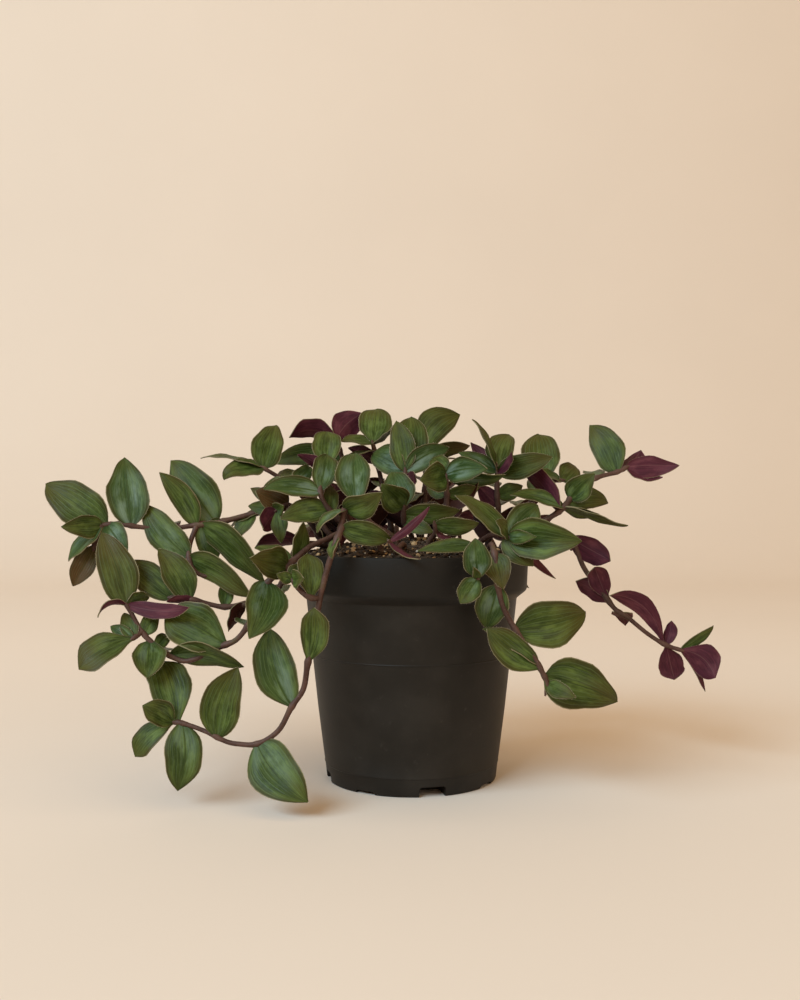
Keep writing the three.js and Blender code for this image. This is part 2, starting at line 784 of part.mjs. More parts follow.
function pottingSoil() {
  const top = RIM_RADIUS - WALL - 0.1 - CLEARANCE;
  const profile = [
    [0, CHANNEL_HEIGHT + WALL + CLEARANCE],
    [BASE_RADIUS - WALL - 2 * CLEARANCE, CHANNEL_HEIGHT + WALL + CLEARANCE],
    [BODY_LOW_RADIUS - WALL - 1.4 * CLEARANCE, BODY_LOW_HEIGHT],
    [BODY_TOP_RADIUS - WALL - 1.6 * CLEARANCE, COLLAR_UNDERSIDE + 1.2],
    [top - 1, COLLAR_FOOT + 2],
    [top - 0.2, soilHeight(top, 0)],
    [46, soilHeight(46, 0)],
    [32, soilHeight(32, 0)],
    [16, soilHeight(16, 0)],
    [0, SOIL_CROWN_HEIGHT],
  ];
  let soil = turned(profile, SOIL_SIDES);
  for (const growth of GROWTHS) {
    const { x, y, z } = growth.runs[0][0];
    soil = soil
      .subtract(tube(growth.runs[0], STEM_RADIUS + HOLE_CLEARANCE))
      .subtract(post(STEM_RADIUS + HOLE_CLEARANCE, z - CLEARANCE, z + 1, x, y, STEM_SIDES));
  }
  return soil;
}

// ---- The assembled plant ----------------------------------------------------------------------

const blackPlastic = new THREE.MeshStandardMaterial({ color: 0x2b2b29, roughness: 0.55, metalness: 0 });
const darkSoil = new THREE.MeshStandardMaterial({ color: 0x2e221a, roughness: 0.95, metalness: 0 });
const greenLeaf = new THREE.MeshStandardMaterial({ color: 0x3f5a35, roughness: 0.6, metalness: 0 });

const plant = new THREE.Group();

function piece(name, shape, material) {
  const mesh = new THREE.Mesh(geometryOf(shape), material);
  mesh.name = name;
  plant.add(mesh);
}

piece("pot", nurseryPot(), blackPlastic);
piece("soil", pottingSoil(), darkSoil);
for (const growth of GROWTHS) {
  piece(growth.name, leafyStem(growth), greenLeaf);
}

export { GROWTHS, blade, tube };
export default plant;
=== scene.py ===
"""A trailing houseplant in a round nursery pot, dressed around its solid model.

Every size is in millimetres until a mesh is made. The origin is the middle of the pot's flat base,
+Z is up, +X is to the right and -Y is towards the viewer.
"""

import math

import bpy
import numpy as np
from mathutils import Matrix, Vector, noise


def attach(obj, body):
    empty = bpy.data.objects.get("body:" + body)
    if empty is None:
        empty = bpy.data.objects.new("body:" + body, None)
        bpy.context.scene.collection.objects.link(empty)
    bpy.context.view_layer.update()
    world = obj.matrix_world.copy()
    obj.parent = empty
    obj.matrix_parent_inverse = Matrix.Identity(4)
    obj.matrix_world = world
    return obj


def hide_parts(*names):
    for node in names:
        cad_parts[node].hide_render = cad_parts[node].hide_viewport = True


bl_info = {
    "name": "Potted trailing plant",
    "version": (1, 0, 0),
    "blender": (4, 5, 0),
    "location": "3D View > Sidebar > Plant",
    "description": "Builds the pot, its soil, the leafy stems and a plain studio",
    "category": "Add Mesh",
}

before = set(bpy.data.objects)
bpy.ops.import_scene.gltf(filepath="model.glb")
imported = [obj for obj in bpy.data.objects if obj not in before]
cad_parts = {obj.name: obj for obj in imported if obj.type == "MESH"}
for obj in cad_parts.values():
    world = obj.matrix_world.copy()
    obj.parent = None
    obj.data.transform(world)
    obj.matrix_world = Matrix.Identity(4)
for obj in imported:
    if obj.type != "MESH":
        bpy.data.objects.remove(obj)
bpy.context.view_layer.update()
MM = 0.001
BODY = "root"

# ---- Fixed sizes of the plant and its pot ------------------------------------------------------

POT_HEIGHT = 115.0
RIM_RADIUS = 60.0
WALL = 1.2
BASE_RADIUS = 43.2
CHANNEL_COUNT = 4
CHANNEL_TURN = 13.0  # degrees from straight ahead to the first drainage channel
CHANNEL_WIDTH = 13.0
CHANNEL_HEIGHT = 5.0
CHANNEL_LENGTH = 14.0
ROOF_LIFT = 0.3
OVERCUT = 2.0  # how far a cutting tool reaches past the plastic
NOTCH = (11, 8, 3.6)
DRAIN_RADIUS = 3.2
DRILL_LENGTH = 9.0
DRILL_HEIGHT = 5.5
SOIL_EDGE_HEIGHT = 112.6
SOIL_CROWN_HEIGHT = 121.5
SOIL_GAP = 0.5
SOIL_SIDES = 80
SOIL_SEED = 5
SOIL_RINGS = (57.6, 56, 54, 51.5, 49, 46, 43, 39.5, 36, 32, 28, 24, 20, 16, 12, 8, 4)
SOIL_FACE = 111.5  # only points higher than this are part of the uneven surface
SOIL_HUMPS = ((0.09, 0.9), (0.35, 0.55))  # fineness and height
GRAIN_GAP = 2.0  # between the wall and the grains nearest to it
GRAIN_LUMPINESS = 0.16
GRAIN_SUNK, GRAIN_STANDS = 0.25, 0.35  # how deep a grain lies, and how far its size lifts it
# What lies on the soil: finish, sizes, flatness, dark and pale colour, fineness of its mottle.
GRAINS = {
    "crumbs": ("soil_crumb", (0.45, 1.5), 0.75, (0.030, 0.019, 0.012), (0.105, 0.064, 0.038), 300.0),
    "pebbles": ("tan_grit", (0.5, 1.7), 0.8, (0.30, 0.17, 0.075), (0.56, 0.37, 0.19), 260.0),
    "flecks": ("white_fleck", (0.35, 0.9), 0.8, (0.42, 0.40, 0.36), (0.66, 0.63, 0.58), 300.0),
}
ROOTED_DEPTH = 9.0
BLADE_ARCH = 0.045
BLADE_FOLD = 0.24
PLAIN_CURL = 20

VIEW_CENTRE = (400, 500)
VIEW_FOCAL = 1080.0
VIEW_POINT = Vector((-5.9, -557.0, 141.7))

# ---- The plant as it grows ---------------------------------------------------------------------
# Stems and leaves as the photograph shows them: pixels across and down, and millimetres behind the
# pot's axis.


def leaf(place, across, down, lean, width, turn=0, fold=BLADE_FOLD, bow=0.0, curl=PLAIN_CURL, tone=None,
         blunt=0.0):
    """A seen leaf: place on its stem, its tip, how much further back the tip lies, width, turn.

    bow is how far its midrib swings out to the left on the way to the tip, as a share of the length,
    curl is how many degrees its end bends back, tone runs from silvery green, 0, to brown, 1, and blunt
    carries its widest place towards the tip.
    """
    return dict(place=place, across=across, down=down, lean=lean, width=width, turn=turn, fold=fold,
                bow=bow, curl=curl, tone=tone, blunt=blunt)


def spread(place, heading, rise, length):
    """A leaf that lies level: heading from +X in degrees, rise and length."""
    return dict(place=place, heading=heading, rise=rise, length=length)


def twig(place, bends, leaves):
    return dict(place=place, bends=bends, leaves=leaves)


def stem(name, foot, bends, leaves, twigs=()):
    return dict(name=name, foot=foot, bends=bends, leaves=leaves, twigs=twigs)


def arching(name, heading, arch, count, lengths, seed):
    """A stem behind the crown: heading, arch as distances from the axis and heights, its leaves."""
    return dict(name=name, heading=heading, arch=arch, count=count, lengths=lengths, seed=seed)


STEMS = [
  stem("stem_left_upper", [-30, 4],
    [[335, 522, 2], [300, 509, -4], [262, 512, -10], [220, 522, -14], [197, 525, -16], [165, 529, -18],
      [140, 527, -20], [116, 524, -22], [98, 526, -23]],
    [
      leaf(8.5, 44, 483, 6, 22, bow=-0.01, tone=0.45), leaf(9, 62, 527, -14, 12, tone=0.35),
      leaf(9, 67, 560, -6, 14, 55, bow=0.05, tone=0.1, blunt=0.2),
      leaf(7.4, 124, 456, 13, 21.3, bow=0.005, tone=0.1), leaf(8.4, 127, 552, -12, 12, tone=0.1),
      leaf(4.2, 170, 459, 8, 21.5, bow=-0.005, tone=0.2),
      leaf(5, 158, 473, -4, 13.5, -25, bow=-0.12, tone=0.35),
      leaf(4.9, 262, 584, -10, 18, 40, bow=0.1, tone=0.4), leaf(4.7, 215, 562, 3, 14, tone=0.2),
      leaf(3.9, 203, 531, -2, 7), leaf(3, 225, 531, 6, 12, 78), leaf(3.2, 233, 541, -6, 10, 40),
      spread(4.6, 100, -2, 26), spread(6.3, 78, 2, 27), spread(8.3, 112, -1, 23),
    ],
    [
      twig(9, [[95, 545, -24], [92, 561, -25]], [leaf(1, 73, 586, -6, 12, tone=0.8, blunt=0.3)]),
      twig(5, [[190, 544, -20], [189, 557, -23], [193, 569, -25], [204, 576, -26], [216, 573, -25]], [
        leaf(2.1, 144, 503, 8, 16.5, bow=0.06, tone=0.2),
        leaf(2, 251, 600, -14, 17, 42, bow=0.13, tone=0.5),
      ]),
    ]),
  stem("stem_left_long", [-22, -16],
    [[345, 532, -24], [325, 540, -32], [308, 548, -38], [294, 560, -42], [281, 572, -44], [268, 582, -45],
      [258, 602, -46], [250, 622, -47], [236, 640, -47], [222, 646, -46], [200, 657, -45], [184, 661, -44],
      [166, 653, -43], [150, 641, -42], [138, 625, -41], [131, 612, -40], [124, 601, -39]],
    [
      leaf(4.4, 252, 558, -20, 16), leaf(4, 305, 521, 14, 11, 40), leaf(4.2, 255, 546, 6, 11, 50),
      leaf(6, 250, 637, -22, 20, bow=0.09, tone=0.15),
      leaf(9.8, 164, 614, 4, 24, bow=-0.05, tone=0.25, blunt=0.4),
      leaf(12.8, 243, 670, -6, 15.5, 48, bow=0.155, tone=0.25),
      leaf(14, 147, 677, -16, 16, bow=-0.01, tone=0.2, blunt=0.3),
      leaf(13.6, 168, 634, 10, 7, tone=0.3), leaf(17, 101, 531, 8, 19, bow=-0.04, tone=0.6),
      leaf(17, 97, 616, -8, 8, 105, bow=-0.14), leaf(17, 192, 609, -14, 8.5, 160, bow=-0.04, tone=0.1),
      leaf(16.6, 150, 598, 7, 10, 40, bow=0.12, tone=0.3), leaf(14.5, 156, 611, 6, 9, tone=0.3),
      spread(8.2, 95, 0, 23), spread(13.2, 75, -3, 23),
    ],
    [
      twig(14.6, [[130, 641, -46]], [
        leaf(1, 78, 668, -10, 17, 30, bow=-0.06, tone=0.5, blunt=0.6), leaf(0.9, 124, 612, 8, 9),
        leaf(0.8, 110, 626, 4, 7),
      ]),
    ]),
  stem("stem_left_middle", [-36, -6],
    [[325, 545, -14], [306, 545, -27], [291, 563, -30], [276, 592, -29], [262, 603, -28], [245, 604, -29],
      [225, 607, -30], [209, 604, -31], [195, 600, -32], [178, 598, -32], [165, 598, -32]],
    [
      leaf(7, 228, 578, 11, 8), leaf(6, 227, 631, -8, 10, 130, tone=0.9),
      leaf(9.2, 158, 548, 4, 16, bow=-0.05, tone=0.5),
      leaf(10.5, 124, 560, 8, 15.5, bow=-0.03, tone=0.5), leaf(10, 162, 577, 8, 5, tone=0.6),
      leaf(11, 152, 590, 4, 5, 30, tone=0.9), leaf(9, 166, 601, -8, 5, 150, 0.5),
      spread(4.4, 80, 4, 22),
    ]),
  stem("stem_front_left", [-16, -34],
    [[352, 523, -42], [345, 510, -48], [341, 528, -53], [335, 545, -57], [327, 570, -58], [320, 598, -58],
      [314, 636, -59], [308, 662, -60], [303, 690, -60], [292, 706, -61], [278, 731, -62], [257, 744, -62],
      [240, 744, -61], [228, 742, -60], [205, 731, -58], [182, 723, -56], [170, 722, -55]],
    [
      leaf(2, 316, 531, -8, 12, 70), leaf(2, 381, 494, -16, 14, 20, bow=-0.05, tone=0.4),
      leaf(3, 392, 540, 4, 12, 10, tone=0.35), leaf(3.6, 331, 558, -6, 8, 60),
      leaf(8, 314, 608, -4, 13.5, bow=-0.07, tone=0.3, blunt=0.6),
      leaf(10, 269, 627, 8, 20, bow=0.09, tone=0.15, blunt=0.15),
      leaf(12, 307, 801, -18, 23, bow=-0.075, tone=0.2),
      leaf(14.5, 238, 667, 2, 19.5, bow=0.10, tone=0.4),
      leaf(16, 178, 791, -8, 18, bow=0.075, tone=0.2, blunt=0.1),
      leaf(17, 134, 756, -4, 12, 25, bow=-0.1, tone=0.3, blunt=0.6),
      leaf(17, 143, 706, -8, 12.5, bow=-0.06, tone=0.35, blunt=0.3),
      leaf(16.4, 161, 659, 14, 20.5, bow=-0.045, tone=0.3, blunt=0.5),
    ],
    [
      twig(6, [[311, 598, -60], [302, 592, -60], [295, 584, -59], [290, 575, -58]], [
        leaf(1, 308, 553, 4, 13, 20, blunt=0.5), leaf(4, 302, 564, 4, 9), leaf(4, 303, 578, -8, 9),
        leaf(3.8, 277, 574, -4, 6),
      ]),
    ]),
  stem("stem_top_left", [-38, 20],
    [[332, 512, 18], [304, 494, 16], [282, 479, 12], [260, 466, 10]],
    [
      leaf(4, 277, 423, 20, 17.5, bow=0.03, tone=0.35, blunt=-0.12), leaf(4, 201, 455, 0, 13, 84),
      leaf(3.8, 221, 473, -12, 15, 50, curl=85, tone=0.35), spread(1.7, 128, 5, 22),
      spread(2.8, 80, 7, 23),
    ]),
  stem("stem_back_left", [-22, 36],
    [[352, 500, 34], [346, 472, 34], [340, 450, 30], [336, 436, 28]],
    [
      leaf(4, 289, 436, -2, 14, 140, bow=-0.13, tone=0.1, blunt=0.3),
      leaf(3.8, 362, 414, 12, 17, 180, bow=0.09, tone=0.0, blunt=0.3),
      leaf(2.6, 271, 464, 10, 13, bow=-0.1, tone=0.3), spread(1.5, 94, 13, 20), spread(2.2, 62, 6, 22),
      spread(3.1, 140, 4, 22),
    ]),
  stem("stem_crown_left", [-26, -8],
    [[344, 524, -12], [328, 509, -15], [320, 492, -15], [325, 476, -6], [326, 466, 2]],
    [
      leaf(3, 327, 453, 12, 13.5, blunt=0.3), leaf(3, 264, 487, -9, 14, 40),
      leaf(2, 281, 518, -14, 14, 20), leaf(5, 328, 430, 16, 15.5, tone=0.25, blunt=0.4),
      leaf(4.6, 298, 454, 0, 8, 140), leaf(1.8, 331, 484, 10, 9, 20), spread(1.4, 100, 4, 20),
    ]),
  stem("stem_crown_olive", [-42, 6],
    [[318, 532, -2], [304, 516, -6], [288, 505, -10], [274, 512, -16]],
    [
      leaf(3, 256, 491, -8, 15, 10, tone=0.95), leaf(3, 250, 488, 3, 8, tone=0.6),
      leaf(4, 248, 506, 2, 8), leaf(4, 283, 506, -8, 8), leaf(4, 281, 543, -4, 9),
      leaf(4, 262, 530, -10, 12, 150),
    ]),
  stem("stem_crown_small", [-36, -18],
    [[326, 530, -20], [310, 506, -18], [290, 483, -8]],
    [
      leaf(3, 312, 466, 13, 9), leaf(3, 263, 486, 9, 10, 20),
    ]),
  stem("stem_crown_front", [-8, -24],
    [[370, 522, -28], [354, 500, -28]],
    [
      leaf(2, 355, 451, 20, 18, bow=0.03, tone=0.0, blunt=0.25), leaf(1.4, 338, 548, -8, 9, 120),
    ]),
  stem("stem_crown_tall", [-10, 26],
    [[386, 502, 26], [378, 466, 24], [372, 440, 20]],
    [
      leaf(3, 377, 407, 18, 19, tone=0.35, blunt=0.4), leaf(3, 341, 440, -4, 11, 62, tone=0.5),
      leaf(2.6, 335, 463, -8, 12, 82), leaf(2.9, 398, 422, 2, 10, 76, tone=0.4),
      leaf(2.2, 349, 447, 4, 10, 140), spread(1.4, 95, 4, 23), spread(2, 45, 5, 22),
    ]),
  stem("stem_crown_centre", [4, 6],
    [[405, 508, 6], [406, 486, 6], [405, 467, 5]],
    [
      leaf(3, 371, 454, 12, 16, bow=-0.05, tone=0.1, blunt=0.2),
      leaf(3, 396, 420, 6, 14, bow=-0.05, tone=0.4),
      leaf(3, 411, 415, 16, 18, bow=-0.05, tone=0.3, blunt=0.3),
      leaf(3, 450, 447, 6, 13, bow=0.08, tone=0.05), leaf(2.2, 416, 474, -8, 8, 160, tone=0.6),
      spread(1.1, 60, 6, 20), spread(2, 120, 3, 20),
    ]),
  stem("stem_crown_low", [0, -12],
    [[404, 522, -18], [404, 503, -22]],
    [
      leaf(2, 382, 485, -12, 15, tone=0.25), leaf(2, 391, 471, 12, 17, tone=0.1),
      leaf(1.4, 461, 511, 2, 11, 20), leaf(1, 433, 532, -8, 8),
    ]),
  stem("stem_crown_high", [6, 39],
    [[424, 502, 38], [425, 470, 40], [421, 446, 40]],
    [
      leaf(3, 461, 414, 10, 19, bow=0.2, tone=0.5, blunt=0.1),
      leaf(2.6, 471, 447, 6, 10, 30, bow=0.08, tone=0.7), spread(1.4, 52, 5, 20),
      spread(2.1, 25, 5, 22), spread(2.7, 112, 3, 23),
    ]),
  stem("stem_crown_glossy", [20, -8],
    [[446, 518, -10], [447, 494, -12], [446, 471, -12]],
    [
      leaf(3, 421, 480, -12, 16, bow=0.05, tone=0.4),
      leaf(3, 486, 469, -16, 13, bow=0.06, tone=0.0, blunt=0.15), leaf(3, 506, 477, 4, 11, 45),
      leaf(2.8, 431, 458, 12, 11, bow=-0.05, tone=0.3), leaf(2, 480, 488, 4, 9, 30),
      leaf(2, 426, 487, 8, 9, tone=0.5), leaf(1.5, 479, 481, 3, 12, 165, tone=0.9),
      leaf(1.2, 462, 501, 2, 10, 170, tone=0.7), spread(1.4, 62, 3, 20),
    ]),
  stem("stem_crown_right", [40, 12],
    [[498, 520, 10], [497, 495, 8], [497, 468, 5]],
    [
      leaf(3, 475, 418, -2, 12, 80, bow=0.02, tone=0.5),
      leaf(3, 510, 433, 16, 15, bow=0.1, tone=0.5, blunt=0.25), leaf(3, 552, 457, -9, 13.5),
      leaf(2.9, 514, 451, -14, 8, 120), leaf(2.9, 471, 443, 8, 8, 180), leaf(2.8, 459, 452, -4, 9, 20),
      leaf(1.6, 478, 486, -2, 10, 180), leaf(2, 523, 486, 2, 10, 20), spread(1.6, 75, 4, 21),
      spread(2.3, 112, 3, 20),
    ]),
  stem("stem_right_back", [36, 34],
    [[512, 522, 34], [532, 500, 32], [545, 483, 30], [565, 480, 30]],
    [
      leaf(3, 538, 432, 20, 22, bow=-0.01, tone=0.5, blunt=0.4), leaf(4, 577, 466, 12, 13, tone=0.6),
      leaf(4, 533, 471, -6, 11, 65), spread(1.7, 100, 4, 23), spread(2.4, 88, 9, 20),
    ]),
  stem("stem_right_upper", [46, -4],
    [[524, 528, -2], [547, 519, 0], [564, 507, 2], [575, 491, 6], [596, 478, 10], [617, 472, 13],
      [629, 466, 14]],
    [
      leaf(3, 511, 493, -8, 12, 55), leaf(2.6, 506, 458, 9, 15, 128, bow=-0.06),
      leaf(3.5, 594, 474, -8, 14), leaf(3.2, 610, 503, 12, 12, bow=0.12, tone=0.5),
      leaf(3, 599, 516, 2, 10, 60), leaf(3, 627, 529, -8, 12, 75, bow=0.06, tone=0.5),
      leaf(6, 589, 424, 12, 17.5, bow=-0.09, tone=0.4), leaf(7, 679, 467, -2, 14, 150, bow=0.06),
      leaf(6.8, 662, 479, -2, 9, 115), leaf(6.4, 641, 452, 12, 11, 140, blunt=0.4),
      spread(5, 88, 4, 22),
    ]),
  stem("stem_right_trailing", [48, 16],
    [[536, 532, 22], [560, 532, 26], [573, 543, 26], [584, 568, 26], [602, 592, 26], [616, 610, 25],
      [627, 617, 24], [648, 634, 22], [666, 645, 21], [684, 651, 20]],
    [
      leaf(2.6, 611, 561, -8, 14, 180, tone=0.0, blunt=0.3), leaf(5.6, 576, 580, 4, 13, 150, blunt=0.3),
      leaf(5.4, 594, 566, -8, 12, 180, blunt=0.5),
      leaf(8.8, 608, 594, -8, 11, 180, bow=-0.18, tone=0.0, blunt=0.5),
      leaf(9, 674, 679, 4, 14, 180, blunt=0.9), leaf(9, 672, 621, 2, 8, 150, blunt=0.3),
      leaf(10, 715, 678, -6, 17, 180, bow=0.18, tone=0.0, blunt=0.7),
      leaf(10, 715, 626, 6, 6, 30, tone=0.4), leaf(10, 703, 692, 2, 5, 130, bow=0.15, tone=0.5),
      spread(3, 84, -4, 22), spread(6.4, 70, -8, 22),
    ]),
  stem("stem_front_right", [32, -30],
    [[492, 535, -40], [512, 538, -48]],
    [
      leaf(2, 581, 541, -16, 20, bow=-0.01, tone=0.3), leaf(2, 497, 520, -4, 12, 65),
      leaf(2, 535, 537, -14, 7), leaf(1.8, 539, 504, 14, 15), leaf(1.8, 456, 493, 6, 14, 45),
      leaf(1.6, 533, 566, -6, 13), leaf(2, 554, 580, 2, 5.4, 145, bow=0.04),
    ]),
  stem("stem_right_hanging", [36, -40],
    [[492, 545, -52], [496, 562, -58], [498, 585, -58], [503, 606, -58], [513, 626, -59], [528, 648, -60],
      [540, 668, -60], [547, 684, -60], [545, 696, -60]],
    [
      leaf(2.8, 491, 550, 3, 9, 10), leaf(1.5, 503, 588, -8, 13, tone=0.6), leaf(3, 486, 629, 6, 16),
      leaf(2.6, 504, 588, -5, 6), leaf(5.2, 588, 611, 14, 23, bow=-0.045, tone=0.45),
      leaf(7, 488, 628, -4, 16, 20, bow=0.06, tone=0.35, blunt=0.35), leaf(6.8, 484, 626, 6, 13, 60),
      leaf(7.5, 620, 702, 13, 24.5, bow=0.03, tone=0.4, blunt=-0.2),
      leaf(8, 575, 697, -12, 8, tone=0.5),
    ]),
  stem("stem_front_twin", [28, -43],
    [[475, 545, -54], [479, 560, -62], [477, 583, -65]],
    [
      leaf(3, 475, 539, -6, 13.5, tone=0.05, blunt=0.3), leaf(3, 461, 603, -8, 11, tone=0.2, blunt=0.3),
      leaf(0.7, 418, 550, -6, 7.5, 20), leaf(3, 474, 568, -8, 4),
    ]),
  stem("stem_front_folded", [-4, -36],
    [[396, 549, -46], [388, 540, -56]],
    [
      leaf(2, 431, 507, -4, 5.5, 150, 0.6), leaf(2, 420, 561, -12, 5, 120, 0.5),
    ]),
  stem("stem_front_middle", [8, -32],
    [[436, 532, -40], [434, 521, -44]],
    [
      leaf(2, 479, 524, -6, 10, 30), leaf(1, 458, 540, -2, 8, 110),
    ]),
]

HIDDEN_STEMS = [
  arching("stem_behind_1", 50, [[40, 124], [54, 127], [70, 120], [82, 102], [86, 82]], 5, [15, 19], 3),
  arching("stem_behind_2", 72, [[38, 126], [52, 144], [72, 147], [92, 132], [99, 106], [100, 82]], 7,
    [24, 31], 5),
  arching("stem_behind_3", 96, [[38, 126], [52, 131], [72, 128], [88, 108], [96, 84], [98, 58]], 7,
    [24, 31], 11),
  arching("stem_behind_4", 119, [[38, 126], [52, 143], [72, 146], [90, 133], [97, 110]], 6, [24, 30], 6),
  arching("stem_behind_5", 143, [[40, 125], [54, 130], [70, 126], [84, 110], [90, 90]], 5, [23, 28], 9),
]

# ---- How a stem grows --------------------------------------------------------------------------

# How the leaves of a hidden stem stand: the bend where they start, and how far each one spreads
# sideways, along the stem and upwards.
LEAF_START = 1.3
LEAF_SPREAD = 0.82
LAST_SPREAD = 0.2
LEAF_FORWARD = 0.5
LEAF_RAISE = 0.28
LEAF_PROPORTION = 0.54
FOOT_INWARD = 6  # how much nearer the axis a hidden stem's foot is than its first bend
LOOK_AHEAD = 0.3
# The short leaves low on a stem. Stems nearer than OPEN_FRONT to the front of the pot have none, and
# the soil shows there.
LOW_LEAVES = 4
LOW_START, LOW_STEP = 0.3, 0.24
LOW_HEADINGS = (10, 170)
LOW_RISES = (0.2, 0.7)
LOW_LENGTHS = (15, 22)
LOW_TONES = (0.55, 0.95)
OPEN_FRONT = -10
DRAW_SEED, DRAW_FACTOR, DRAW_STEP, DRAW_RANGE = 7919, 1103515245.0, 12345.0, 2147483648.0
CURVE_STEP = 2.0
LINE_START = 2.0  # height above the soil of a stem's first bend
UP = Vector((0, 0, 1))


def between(limits, share):
    low, high = limits
    return low + (high - low) * share


def seen(across, down, behind):
    """The place of a pixel of the photograph, at a distance behind the pot's axis."""
    scale = (behind - VIEW_POINT.y) / VIEW_FOCAL
    return Vector((VIEW_POINT.x + (across - VIEW_CENTRE[0]) * scale, behind,
                   VIEW_POINT.z - (down - VIEW_CENTRE[1]) * scale))


def soil_height(x, y):
    share = min(1.0, math.hypot(x, y) / (RIM_RADIUS - WALL))
    return between((SOIL_EDGE_HEIGHT, SOIL_CROWN_HEIGHT), 1 - share * share)


def stretch(before, start, end, after, share):
    """A point of the smooth curve from start to end."""
    def gap(a, b):
        return max((a - b).length_squared ** 0.25, 1e-4)

    g0, g1, g2 = gap(before, start), gap(start, end), gap(end, after)
    t0 = ((start - before) / g0 - (end - before) / (g0 + g1) + (end - start) / g1) * g1
    t1 = ((end - start) / g1 - (after - start) / (g1 + g2) + (after - end) / g2) * g1
    c2 = (end - start) * 3 - t0 * 2 - t1
    c3 = (start - end) * 2 + t0 + t1
    return start + t0 * share + c2 * share * share + c3 * share ** 3


def middle_line(points):
    """Closely spaced points of the smooth curve through the given ones."""
    ends = [points[0] * 2 - points[1], *points, points[-1] * 2 - points[-2]]
    line = []
    for before, start, end, after in zip(ends, ends[1:], ends[2:], ends[3:]):
        count = max(2, round((end - start).length / CURVE_STEP))
        line += [stretch(before, start, end, after, index / count) for index in range(count)]
    return line + [points[-1].copy()]


def rooted_line(x, y, bends):
    """A stem's bends from just above the soil, and its middle line from down in the soil."""
    ground = soil_height(x, y)
    reach = [Vector((x, y, ground + LINE_START)), *bends]
    return reach, middle_line([Vector((x, y, ground - ROOTED_DEPTH)), *reach])


def along(points, place):
    """A place between two of the points: 1.5 lies halfway from the second to the third."""
    lower = min(int(place), len(points) - 1)
    upper = min(lower + 1, len(points) - 1)
    return points[lower].lerp(points[upper], place - lower)


def seated(line, point):
    """The point of a stem's middle line, short of its end, that is nearest to a given one."""
    return min(line[:-1], key=lambda stop: (stop - point).length).copy()


def heading_vector(heading, rise=0.0):
    way = math.radians(heading)
    return Vector((math.cos(way), math.sin(way), rise))


def facing_of(foot, tip, turn):
    """The direction that a leaf's upper face looks in."""
    axis = (tip - foot).normalized()
    towards = VIEW_POINT - (foot + tip) / 2
    towards = (towards - axis * towards.dot(axis)).normalized()
    angle = math.radians(turn)
    return towards * math.cos(angle) + axis.cross(towards) * math.sin(angle)


def blade_of(line, bends, one):
    foot = seated(line, along(bends, one["place"]))
    if "heading" in one:
        flat = math.sqrt(one["length"] ** 2 - one["rise"] ** 2)
        return level_blade(foot, foot + heading_vector(one["heading"]) * flat + UP * one["rise"], UP)
    tip = seen(one["across"], one["down"], foot.y + one["lean"])
    swing = Vector((0, -1, 0)).cross(tip - foot).normalized() * one["bow"] * (tip - foot).length
    return dict(one, foot=foot, tip=tip, facing=facing_of(foot, tip, one["turn"]), swing=swing)


def level_blade(foot, tip, facing, tone=None):
    """A leaf that the photograph doesn't show."""
    return dict(foot=foot, tip=tip, width=(tip - foot).length * LEAF_PROPORTION, facing=facing.copy(),
                fold=BLADE_FOLD, swing=Vector((0, 0, 0)), curl=PLAIN_CURL, tone=tone, blunt=0.0)


def low_blades(line, bends, seed):
    """Short leaves low on a stem, in the shade of the crown, that show their undersides."""
    draw = even_draws(seed)
    blades = []
    for index in range(LOW_LEAVES):
        foot = seated(line, along(bends, LOW_START + LOW_STEP * index))
        heading = between(LOW_HEADINGS, next(draw))
        length = between(LOW_LENGTHS, next(draw))
        tip = foot + heading_vector(heading, between(LOW_RISES, next(draw))) * length
        facing = Vector((between((-0.25, 0.25), next(draw)), 0.8, between((0.7, 0.2), next(draw))))
        blades.append(level_blade(foot, tip, facing, between(LOW_TONES, next(draw))))
    return blades


def seen_stem(growth):
    x, y = growth["foot"]
    bends, line = rooted_line(x, y, [seen(*bend) for bend in growth["bends"]])
    blades = [blade_of(line, bends, one) for one in growth["leaves"]]
    lines = [line]
    for branch in growth["twigs"]:
        start = seated(line, along(bends, branch["place"]))
        reach = [start, *(seen(*bend) for bend in branch["bends"])]
        lines.append(middle_line(reach))
        blades += [blade_of(lines[-1], reach, one) for one in branch["leaves"]]
    if y > OPEN_FRONT:
        blades += low_blades(line, bends, len(growth["name"]))
    return dict(name=growth["name"], lines=lines, blades=blades)


def even_draws(seed):
    """Even draws between 0 and 1 that are the same on every run."""
    state = float(seed * DRAW_SEED)
    while True:
        state = math.fmod(state * DRAW_FACTOR + DRAW_STEP, DRAW_RANGE)
        yield state / DRAW_RANGE


